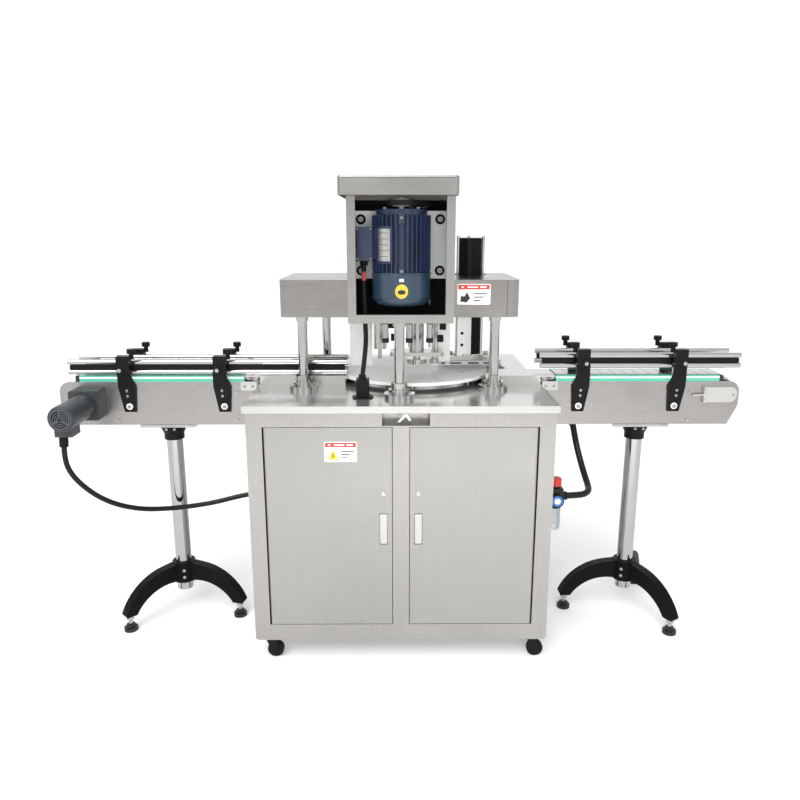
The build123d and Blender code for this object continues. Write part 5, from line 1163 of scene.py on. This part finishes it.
for end in ("left", "right"):
    for row in ("front", "rear"):
        rail = f"{end}_{row}_guide_rail"
        dress(rail, rail_polish)
        rail_low, rail_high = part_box(rail)
        rail_y = RAIL_Y[row]
        # A black strip filling the gap between each pair of rails: painted shade for the dark gap between
        # them.
        rounded_plate(
            f"{end}_{row}_rail_strip",
            (rail_low[0] + RAIL_NOSE, rail_y - RAIL_SHADE_HALF, RAIL_SHADE_BANDS[end][0]),
            (rail_high[0] - RAIL_NOSE, rail_y + RAIL_SHADE_HALF, RAIL_SHADE_BANDS[end][1]),
            0.002, black_nylon_and_shade, rail, steps=2,
        )


# ---------------------------------------------------------------------------
# Take-up plate, conveyor gearbox and gearmotor.
# A bright slotted plate with an adjuster bolt at one end, a cast gearbox and
# a small motor in dark grey enamel at the other.
# ---------------------------------------------------------------------------
dress("take_up_plate", finish_of(
    "take_up_bright", (0.62, 0.62, 0.61), 0.34, 0.6, fineness=400.0, smudge_scale=16.0, spread=0.05, bump=0.08
))
grey_enamel = finish_of(
    "grey_enamel", (0.040, 0.045, 0.052), 0.36, fineness=380.0, smudge_scale=22.0, spread=0.25, bump=0.25,
    gloss=0.5
)
dress("conveyor_gearbox", grey_enamel)
dress("gearmotor", grey_enamel)


# ---------------------------------------------------------------------------
# Conveyor legs.
# A plated foot plate under each conveyor, a black clamp head, a chromed
# tube, a cast tripod in black satin and three levelling feet.
# ---------------------------------------------------------------------------
heads_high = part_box("leg_heads")[1]
dress("leg_heads", finish_of(
    "leg_head_black", (0.007, 0.007, 0.008), 0.42, gloss=0.2, fineness=500.0, smudge_scale=20.0, spread=0.2,
    bump=0.25,
    zones=[((None, None, heads_high[2] - 0.0085), (None, None, None), (0.62, 0.62, 0.61), 0.3, 1.0)],
))
dress("leg_tubes", finish_of(
    "chromed_tube", (0.62, 0.62, 0.62), 0.07, 1.0, stretch=(1.0, 1.0, 0.1), fineness=220.0, smudge_scale=7.0,
    spread=0.05, rough_spread=0.4, bump=0.02,
))
dress("tripod_bases", finish_of(
    "tripod_black_satin", (0.004, 0.004, 0.0045), 0.44, fineness=420.0, smudge_scale=16.0, spread=0.2,
    bump=0.20,
    gloss=0.12
))
dress("levelling_feet", finish_of(
    "levelling_foot", (0.60, 0.60, 0.60), 0.25, 1.0, fineness=300.0, smudge_scale=40.0, spread=0.1, bump=0.1,
    zones=[((None, None, None), (None, None, 0.024), (0.016, 0.016, 0.017), 0.5, 0.0)],
))


# ---------------------------------------------------------------------------
# Filter regulator.
# A black moulded body with a red adjusting knob, a clear bowl and a small
# blue-faced gauge, on the side of the cabinet.
# ---------------------------------------------------------------------------
def chamfered_box(name, low, high, ease, material, body):
    """A box with eased edges."""
    x0, y0, z0 = low
    x1, y1, z1 = high
    verts = [(x, y, z) for x in (x0, x1) for y in (y0, y1) for z in (z0, z1)]
    faces = [(0, 1, 3, 2), (4, 6, 7, 5), (0, 4, 5, 1), (2, 3, 7, 6), (0, 2, 6, 4), (1, 5, 7, 3)]
    made = shaped(name, verts, faces, material, body)
    edge = made.modifiers.new("eased_edge", "BEVEL")
    edge.width = ease
    edge.segments = 3
    made.data.shade_smooth()
    return made


regulator_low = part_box("filter_regulator")[0]
knob_low, knob_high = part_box("regulator_knob")
regulator_x = 0.5 * (knob_low[0] + knob_high[0])
regulator_y = 0.5 * (knob_low[1] + knob_high[1])
BODY_HALF = 0.021
BODY_LOW = 0.476
BODY_HIGH = 0.526
BOWL_RADIUS = 0.019
regulator_black = finish_of(
    "regulator_black", (0.012, 0.012, 0.013), 0.36, fineness=500.0, smudge_scale=30.0, spread=0.2, bump=0.2,
    gloss=0.4
)
bowl_clear = finish_of(
    "bowl_polycarbonate", (0.72, 0.78, 0.80), 0.06, fineness=500.0, smudge_scale=30.0, spread=0.04, bump=0.04
)
bowl_clear.node_tree.nodes["Principled BSDF"].inputs["Transmission Weight"].default_value = 0.85
gauge_blue = finish_of(
    "gauge_blue", (0.03, 0.17, 0.50), 0.30, fineness=500.0, smudge_scale=30.0, spread=0.05, bump=0.1
)
regulator_body = chamfered_box(
    "regulator_body_shell",
    (regulator_x - BODY_HALF, regulator_y - BODY_HALF, BODY_LOW),
    (regulator_x + BODY_HALF, regulator_y + BODY_HALF, BODY_HIGH),
    0.0025, regulator_black, "machine",
)
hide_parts("filter_regulator")
chamfered_box(
    "regulator_mount",
    (regulator_low[0], regulator_y - 0.016, BODY_LOW + 0.006),
    (regulator_x - BODY_HALF - 0.0003, regulator_y + 0.016, BODY_HIGH - 0.006),
    0.0015, regulator_black, "machine",
)
turned(
    "regulator_crown",
    [(0.0130, 0.0003), (0.0130, 0.0055), (0.0118, 0.0060), (0.0004, 0.0060)],
    (regulator_x, regulator_y, BODY_HIGH), "z", regulator_black, "machine", sides=32,
)
turned(
    "regulator_bowl_collar",
    [
        (0.0040, -0.0003), (0.0185, -0.0003), (0.0190, -0.0012), (0.0190, -0.0130), (0.0178, -0.0142),
        (0.0150, -0.0142)
    ],
    (regulator_x, regulator_y, BODY_LOW), "z", regulator_black, "machine", sides=32,
)
turned(
    "regulator_bowl",
    [
        (0.0172, 0.0758), (BOWL_RADIUS - 0.0012, 0.0758), (BOWL_RADIUS - 0.0012, 0.0160),
        (BOWL_RADIUS - 0.0024, 0.0085), (0.0130, 0.0040), (0.0070, 0.0022), (0.0060, 0.0), (0.0012, 0.0),
    ],
    (regulator_x, regulator_y, regulator_low[2]), "z", bowl_clear, "machine", sides=32,
)
gauge_y = regulator_y - BODY_HALF
GAUGE_Z = 0.492
turned(
    "gauge_case",
    [(0.0080, -0.0003), (0.0190, -0.0012), (0.0200, -0.0030), (0.0200, -0.0150), (0.0192, -0.0158), (
        0.0176, -0.0158
    ),
     (0.0172, -0.0140), (0.0004, -0.0140)],
    (regulator_x, gauge_y, GAUGE_Z), "y", regulator_black, "machine", sides=40,
)
turned(
    "gauge_rim_face", [(0.0169, -0.0143), (0.0169, -0.0149), (0.0060, -0.0149)],
    (regulator_x, gauge_y, GAUGE_Z), "y", gauge_blue, "machine", sides=40,
)
turned(
    "gauge_dial", [(0.0095, -0.01505), (0.0095, -0.0154), (0.0004, -0.0156)],
    (regulator_x, gauge_y, GAUGE_Z), "y", white_nylon, "machine", sides=32,
)
dress("regulator_knob", finish_of(
    "regulator_red", (0.55, 0.04, 0.035), 0.38, fineness=500.0, smudge_scale=30.0, spread=0.1, bump=0.2
))


# ---------------------------------------------------------------------------
# Screws, bolts and cable glands.
# Plain and socket head screws in zinc plated steel, and black nylon glands.
# ---------------------------------------------------------------------------
dress("fasteners", zinc_plate)
dress("cable_glands", black_nylon_and_shade)


# ---------------------------------------------------------------------------
# Small fittings on the main motor.
# Cast lugs down the front rib, a riveted nameplate on its pad, hexagon bolts
# in the top shield and a screwed lid on the terminal box.
# ---------------------------------------------------------------------------
motor_x = cover_x
motor_y = cover_y
FIN_RADIUS = 0.084
navy_cast = finish_of(
    "navy_cast_lug", (0.018, 0.028, 0.060), 0.32, fineness=420.0, smudge_scale=30.0, spread=0.25, bump=0.25,
    depth=0.0003, coat=0.3,
)


LUGS = ((1.308, 1.338, 0.009, 0.006), (1.170, 1.190, 0.009, 0.006), (1.190, 1.308, 0.004, 0.003))
for lug, (low_z, high_z, half, proud) in enumerate(LUGS):
    chamfered_box(
        f"motor_lug_{lug}",
        (motor_x - half, motor_y - FIN_RADIUS - proud, low_z),
        (motor_x + half, motor_y - FIN_RADIUS + 0.012, high_z),
        0.0015, navy_cast, "machine",
    )


def curved_pad(name, turn, across, low_z, high_z, radius, thick, material, body, steps=10):
    """A pad that follows an upright cylinder, facing away from its axis."""
    verts = []
    for rise in (low_z, high_z):
        for out in (radius, radius + thick):
            for step in range(steps + 1):
                way = turn + across / radius * (step / steps - 0.5)
                verts.append((motor_x + out * math.sin(way), motor_y - out * math.cos(way), rise))
    row = steps + 1
    faces = []
    for step in range(steps):
        a, b = step, step + 1
        faces.append((row + a, row + b, 3 * row + b, 3 * row + a))
        faces.append((b, a, 2 * row + a, 2 * row + b))
        faces.append((a, b, row + b, row + a))
        faces.append((2 * row + b, 2 * row + a, 3 * row + a, 3 * row + b))
    faces.append((0, row, 3 * row, 2 * row))
    faces.append((steps, 2 * row + steps, 3 * row + steps, row + steps))
    return shaped(name, verts, faces, material, body)


NAMEPLATE_TURN = math.radians(-37.0)
curved_pad("nameplate_pad", NAMEPLATE_TURN, 0.054, 1.200, 1.302, 0.080, 0.0052, navy_cast, "machine")
curved_pad("nameplate_foil", NAMEPLATE_TURN, 0.044, 1.207, 1.295, 0.0853, 0.0005, label_silver, "machine")
for row in range(5):
    curved_pad(
        f"nameplate_row_{row}", NAMEPLATE_TURN, 0.032, 1.219 + 0.016 * row, 1.2205 + 0.016 * row, 0.0859,
        0.0002,
        dark_seam, "machine",
    )
curved_pad("box_neck", math.radians(-64.0), 0.040, 1.212, 1.294, 0.072, 0.016, navy_cast, "machine")
chamfered_box(
    "terminal_lid", (-0.1285, -0.3165, 1.2065), (-0.0795, -0.3135, 1.2995), 0.0012, navy_cast, "machine"
)


def screw_head(radius, height, axis="y", sign=-1.0):
    """A socket head screw, its recess toward sign along the axis."""
    return loose_turned(
        [
            (radius * 0.94, 0.0), (radius, 0.12 * height * sign), (radius, 0.78 * height * sign),
            (0.86 * radius, height * sign), (0.50 * radius, height * sign),
            (0.44 * radius, 0.45 * height * sign),
            (0.0002, 0.40 * height * sign),
        ],
        axis,
        sides=18,
    )


def seated(name, places, radius, height, material, body, axis="y", sign=-1.0):
    """Screws on the given places."""
    return kept_shape(
        name, GIVEN_TREE, screw_head(radius, height, axis, sign), material, body, corners=places
    )


bolt_zinc = finish_of(
    "bolt_zinc", (0.50, 0.50, 0.51), 0.26, 1.0, fineness=300.0, smudge_scale=60.0, spread=0.15, bump=0.12
)
seated(
    "terminal_lid_screws",
    [(x, -0.3165, z) for x in (-0.123, -0.085) for z in (1.212, 1.294)],
    0.0026, 0.0016, bolt_zinc, "machine",
)
seated(
    "shield_bolts",
    [(motor_x + 0.066 * math.cos(t), motor_y + 0.066 * math.sin(t), 1.3482) for t in
     [math.radians(v) for v in (-135, -90, -45, 45, 135)]],
    0.0055, 0.006, bolt_zinc, "machine", "z", 1.0,
)
seated(
    "lug_screws",
    [(motor_x, motor_y - FIN_RADIUS - 0.006, z) for z in (1.324, 1.180)],
    0.0045, 0.003, bolt_zinc, "machine",
)
JACK_X = 0.118
for bolt_x in (-JACK_X, JACK_X):
    for bolt_z in (plate_low[2] + 0.024, plate_high[2] - 0.024):
        turned(
            f"jack_washer_{'l' if bolt_x < 0 else 'r'}_{'top' if bolt_z > 1.25 else 'low'}",
            [(0.0098, 0.0), (0.0148, 0.0), (0.0150, -0.0006), (0.0098, -0.0009)],
            (bolt_x, plate_low[1] - 0.0001, bolt_z), "y", black_paint_and_shade, "machine", sides=24,
        )


# ---------------------------------------------------------------------------
# Fan cover ribs.
# The rolled lower edge and the pressed bead where the cover meets the fins.
# ---------------------------------------------------------------------------
def bead(name, middle, radius, thick, material, body, sides=72, around=8):
    """A round bead lying flat round an upright axis."""
    verts = []
    faces = []
    for side in range(sides):
        way = 2 * math.pi * side / sides
        for turn in range(around):
            lift = 2 * math.pi * turn / around
            out = radius + thick * math.cos(lift)
            verts.append((middle[0] + out * math.cos(way), middle[1] + out * math.sin(way),
                          middle[2] + thick * math.sin(lift)))
    for side in range(sides):
        after = (side + 1) % sides
        for turn in range(around):
            up = (turn + 1) % around
            faces.append(
                (side * around + turn, after * around + turn, after * around + up, side * around + up)
            )
    return shaped(name, verts, faces, material, body, smooth=True)


bead(
    "cover_top_bead", (cover_x, cover_y, cover_high[2] - 0.004), COVER_RADIUS, 0.0014, cover_enamel,
    "machine"
)
bead(
    "cover_low_bead", (cover_x, cover_y, cover_low[2] + 0.022), COVER_RADIUS, 0.0014, cover_enamel,
    "machine"
)


# ---------------------------------------------------------------------------
# Screws in the brackets, plates and take-up.
# Each bracket has a white-ringed clamp screw near its foot and two slots
# above it for height.
# ---------------------------------------------------------------------------
BRACKET_X = ((-0.871, 1.0), (-0.569, 1.0), (0.577, -1.0), (0.884, -1.0))
BRACKET_FACE = {-1: -0.1513, 1: -0.0247}
CLAMP_SHIFT = 0.007
CLAMP_Z = 0.742
SLOTS = ((0.003, 0.776), (0.002, 0.793))
clamp_places = []
slot_places = []
for bracket_x, toward in BRACKET_X:
    for way, face in BRACKET_FACE.items():
        clamp_places.append((way, (bracket_x + toward * CLAMP_SHIFT, face, CLAMP_Z)))
        for shift, slot_z in SLOTS:
            slot_places.append((way, (bracket_x + toward * shift, face, slot_z)))
for way, word in ((-1, "front"), (1, "rear")):
    seated(
        f"bracket_rings_{word}", [place for side, place in clamp_places if side == way], 0.0105, 0.0014,
        white_nylon, "machine", "y", float(way),
    )
    seated(
        f"bracket_screws_{word}",
        [(x, y + way * 0.0008, z) for side, (x, y, z) in clamp_places if side == way],
        0.0062, 0.0040, bolt_zinc, "machine", "y", float(way),
    )
    seated(
        f"slot_screws_{word}", [place for side, place in slot_places if side == way], 0.0042, 0.0016,
        bolt_zinc, "machine", "y", float(way),
    )
take_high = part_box("take_up_plate")[1]
TAKE_UP_FACE = -0.1494
TAKE_UP_SCREWS = ((0.103, 0.762), (0.103, 0.794), (0.012, 0.778))
seated(
    "take_up_screws",
    [(take_high[0] - inset, TAKE_UP_FACE, screw_z) for inset, screw_z in TAKE_UP_SCREWS],
    0.0042, 0.0022, bolt_zinc, "take_up_plate",
)
side_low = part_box("conveyor_side_plates")[0]
GUSSET_X = ((-0.508, -0.458), (0.452, 0.502))
GUSSET_Z = (0.793, 0.822)
GUSSET_SCREW_Z = 0.806
GUSSET_SCREW_INSET = 0.012
gusset_front = side_low[1] - 0.0019
for word, (gusset_low, gusset_high) in zip(("left", "right"), GUSSET_X):
    rounded_plate(
        f"{word}_deck_gusset",
        (gusset_low, gusset_front, GUSSET_Z[0]), (gusset_high, side_low[1] - 0.0003, GUSSET_Z[1]),
        0.004, bright_plate, "machine", steps=3,
    )
    seated(
        f"{word}_gusset_screws",
        [
            (x, gusset_front, GUSSET_SCREW_Z)
            for x in (gusset_low + GUSSET_SCREW_INSET, gusset_high - GUSSET_SCREW_INSET)
        ],
        0.0045, 0.003, bolt_zinc, "machine",
    )
LEG_X = (-0.748, 0.778)
LANE_Y = -0.088
HEAD_FACE = 0.0405
seated(
    "leg_head_screws",
    [(leg_x + dx, LANE_Y - HEAD_FACE, heads_high[2] - 0.020) for leg_x in LEG_X for dx in (-0.012, 0.014)],
    0.0045, 0.003, bolt_zinc, "machine",
)


# ---------------------------------------------------------------------------
# Gearmotor fan grille.
# A pressed cover with round louvres, and three short spokes across them.
# ---------------------------------------------------------------------------
GRILLE_X = -0.985
motor_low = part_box("gearmotor")[0]
GRILLE_Z = 0.758
grille_face = motor_low[1]
grille_grey = finish_of(
    "grille_grey", (0.085, 0.092, 0.102), 0.34, fineness=380.0, smudge_scale=30.0, spread=0.25, bump=0.2
)
GRILLE_RIDGES = 4
GRILLE_SPOKES = 3
GRILLE_PROFILE = [(0.030, 0.0)]
for ridge in range(GRILLE_RIDGES):
    outer = 0.0285 - 0.0066 * ridge
    GRILLE_PROFILE += [
        (outer, -0.0030), (outer - 0.0024, -0.0030), (outer - 0.0030, -0.0002), (outer - 0.0056, -0.0002)
    ]
GRILLE_PROFILE += [(0.0008, -0.0030), (0.0002, -0.0030)]
turned(
    "gearmotor_grille", GRILLE_PROFILE, (GRILLE_X, grille_face + 0.0002, GRILLE_Z), "y", grille_grey,
    "machine"
)
SPOKE_HALF = 0.0016
for spoke in range(GRILLE_SPOKES):
    way = math.radians(90 + 360 / GRILLE_SPOKES * spoke)
    along = Vector((math.cos(way), 0.0, math.sin(way)))
    across = Vector((-math.sin(way), 0.0, math.cos(way)))
    start = Vector((GRILLE_X, grille_face - 0.0030, GRILLE_Z)) + along * 0.008
    end = start + along * 0.021
    side_step = across * SPOKE_HALF
    corners = [start - side_step, end - side_step, end + side_step, start + side_step]
    shaped(
        f"grille_spoke_{spoke}",
        corners + [corner + Vector((0.0, 0.0026, 0.0)) for corner in corners],
        [(0, 1, 2, 3), (4, 7, 6, 5), (0, 4, 5, 1), (1, 5, 6, 2), (2, 6, 7, 3), (3, 7, 4, 0)],
        grille_grey, "machine",
    )
# A near-black finish used as painted shade in holes and slots.
recess_shade = finish_of(
    "painted_recess_shade", (0.008, 0.008, 0.009), 0.6, fineness=300.0, smudge_scale=20.0, spread=0.2, gloss=0.2
)


# ---------------------------------------------------------------------------
# Chain slats.
# Bright stainless slats, hinged edge to edge, along the top and bottom runs.
# ---------------------------------------------------------------------------
def loose_slat():
    """One slat with eased edges, its middle at the origin."""
    form = bmesh.new()
    bmesh.ops.create_cube(form, size=1.0)
    bmesh.ops.scale(form, vec=(SLAT_LENGTH, SLAT_WIDTH, SLAT_THICK), verts=form.verts)
    bmesh.ops.bevel(form, geom=form.edges[:], offset=0.0003, segments=1, affect="EDGES")
    data = bpy.data.meshes.new("loose_slat")
    form.to_mesh(data)
    form.free()
    return link_in(bpy.data.objects.new("loose_slat", data))


CHAIN_RUNS = (("infeed", -0.985, -0.516), ("outfeed", 0.516, 1.012))
CHAIN_LEVELS = (("top", 0.8405), ("under", 0.7155))
for run, start_x, end_x in CHAIN_RUNS:
    slat_count = int((end_x - start_x) / CHAIN_PITCH) + 1
    for level, slat_z in CHAIN_LEVELS:
        kept_shape(
            f"{run}_{level}_slats", ROW_TREE, loose_slat(), slat_steel, "machine",
            Count=slat_count, Start=(start_x, LANE_Y, slat_z), Step=(CHAIN_PITCH, 0.0, 0.0),
        )


# ---------------------------------------------------------------------------
# Magazine guard and feeder tray.
# A white acetal guard with two sight holes in front of the lids, and a grey
# tray with guide slots in which a single lid slides. The holes and slots are
# drawn as flat near-black patches, painted shade.
# ---------------------------------------------------------------------------
GUARD_Y = -0.0085
GUARD_X = (0.190, 0.236)
GUARD_Z = (0.8672, 1.0355)
SIGHT_X = 0.206
TRAY_SLOTS = ((0.135, 0.150), (0.165, 0.205), (0.225, 0.262), (0.276, 0.298))
rounded_plate(
    "magazine_guard", (GUARD_X[0], GUARD_Y, GUARD_Z[0]), (GUARD_X[1], GUARD_Y + 0.004, GUARD_Z[1]), 0.002,
    white_nylon, "machine"
)
# Two dark discs as painted shade in the guard's sight holes.
for hole, hole_z in enumerate((0.956, 0.917)):
    turned(
        f"guard_sight_{hole}", [(0.0050, 0.0), (0.0050, -0.0005), (0.0002, -0.0005)],
        (SIGHT_X, GUARD_Y - 0.0001, hole_z), "y", recess_shade, "machine", sides=24,
    )
tray_grey = finish_of(
    "tray_grey_acetal", (0.55, 0.56, 0.57), 0.38, fineness=420.0, smudge_scale=20.0, spread=0.06, bump=0.08
)
chamfered_box("feeder_tray", (0.128, -0.030, 0.8535), (0.306, -0.0175, 0.8655), 0.0012, tray_grey, "machine")
# Dark strips on the tray face as painted shade in its guide slots.
for slot, (slot_x0, slot_x1) in enumerate(TRAY_SLOTS):
    rounded_plate(
        f"tray_slot_{slot}", (slot_x0, -0.0304, 0.8570), (slot_x1, -0.0301, 0.8620), 0.0018, recess_shade,
        "machine",
        steps=3,
    )


# ---------------------------------------------------------------------------
# Seaming station fittings.
# Short air cylinders that press the rollers in, bolted up under the motor
# frame, and black clamp blocks on the hanger rods.
# ---------------------------------------------------------------------------
PRESS_X = (-0.047, 0.028, 0.092)
PRESS_Y = -0.140
PRESS_FOOT = 0.930
PRESS_BLACK = (0.01, 0.01, 0.011)
PRESS_PROFILE = (
    (0.0002, 0.0), (0.004, 0.0), (0.004, 0.016), (0.0105, 0.016), (0.0115, 0.018), (0.0115, 0.030),
    (0.0100, 0.031), (0.0100, 0.074), (0.0115, 0.075), (0.0115, 0.090), (0.0105, 0.092), (0.0002, 0.092),
)
press_finish = finish_of(
    "press_cylinder_finish", (0.62, 0.62, 0.62), 0.18, 1.0, fineness=300.0, smudge_scale=30.0, spread=0.1,
    zones=[
        ((None, None, 0.945), (None, None, 0.9605), PRESS_BLACK, 0.4, 0.0),
        ((None, None, 1.0045), (None, None, None), PRESS_BLACK, 0.4, 0.0),
    ],
)
for cylinder, cylinder_x in enumerate(PRESS_X):
    turned(
        f"press_cylinder_{cylinder}", PRESS_PROFILE, (cylinder_x, PRESS_Y, PRESS_FOOT), "z", press_finish,
        "machine", sides=28,
    )
    chamfered_box(
        f"press_bracket_{cylinder}",
        (cylinder_x - 0.014, PRESS_Y - 0.014, 1.0222), (cylinder_x + 0.014, PRESS_Y + 0.014, 1.0355),
        0.001, black_nylon_and_shade, "machine",
    )
ROD_CLAMPS = ((-0.020, 0.950), (0.126, 0.946), (-0.028, 0.990), (0.134, 0.985))
for clamp, (clamp_x, clamp_z) in enumerate(ROD_CLAMPS):
    chamfered_box(
        f"rod_clamp_{clamp}",
        (clamp_x - 0.010, -0.135, clamp_z), (clamp_x + 0.010, -0.122, clamp_z + 0.022),
        0.001, black_nylon_and_shade, "machine",
    )
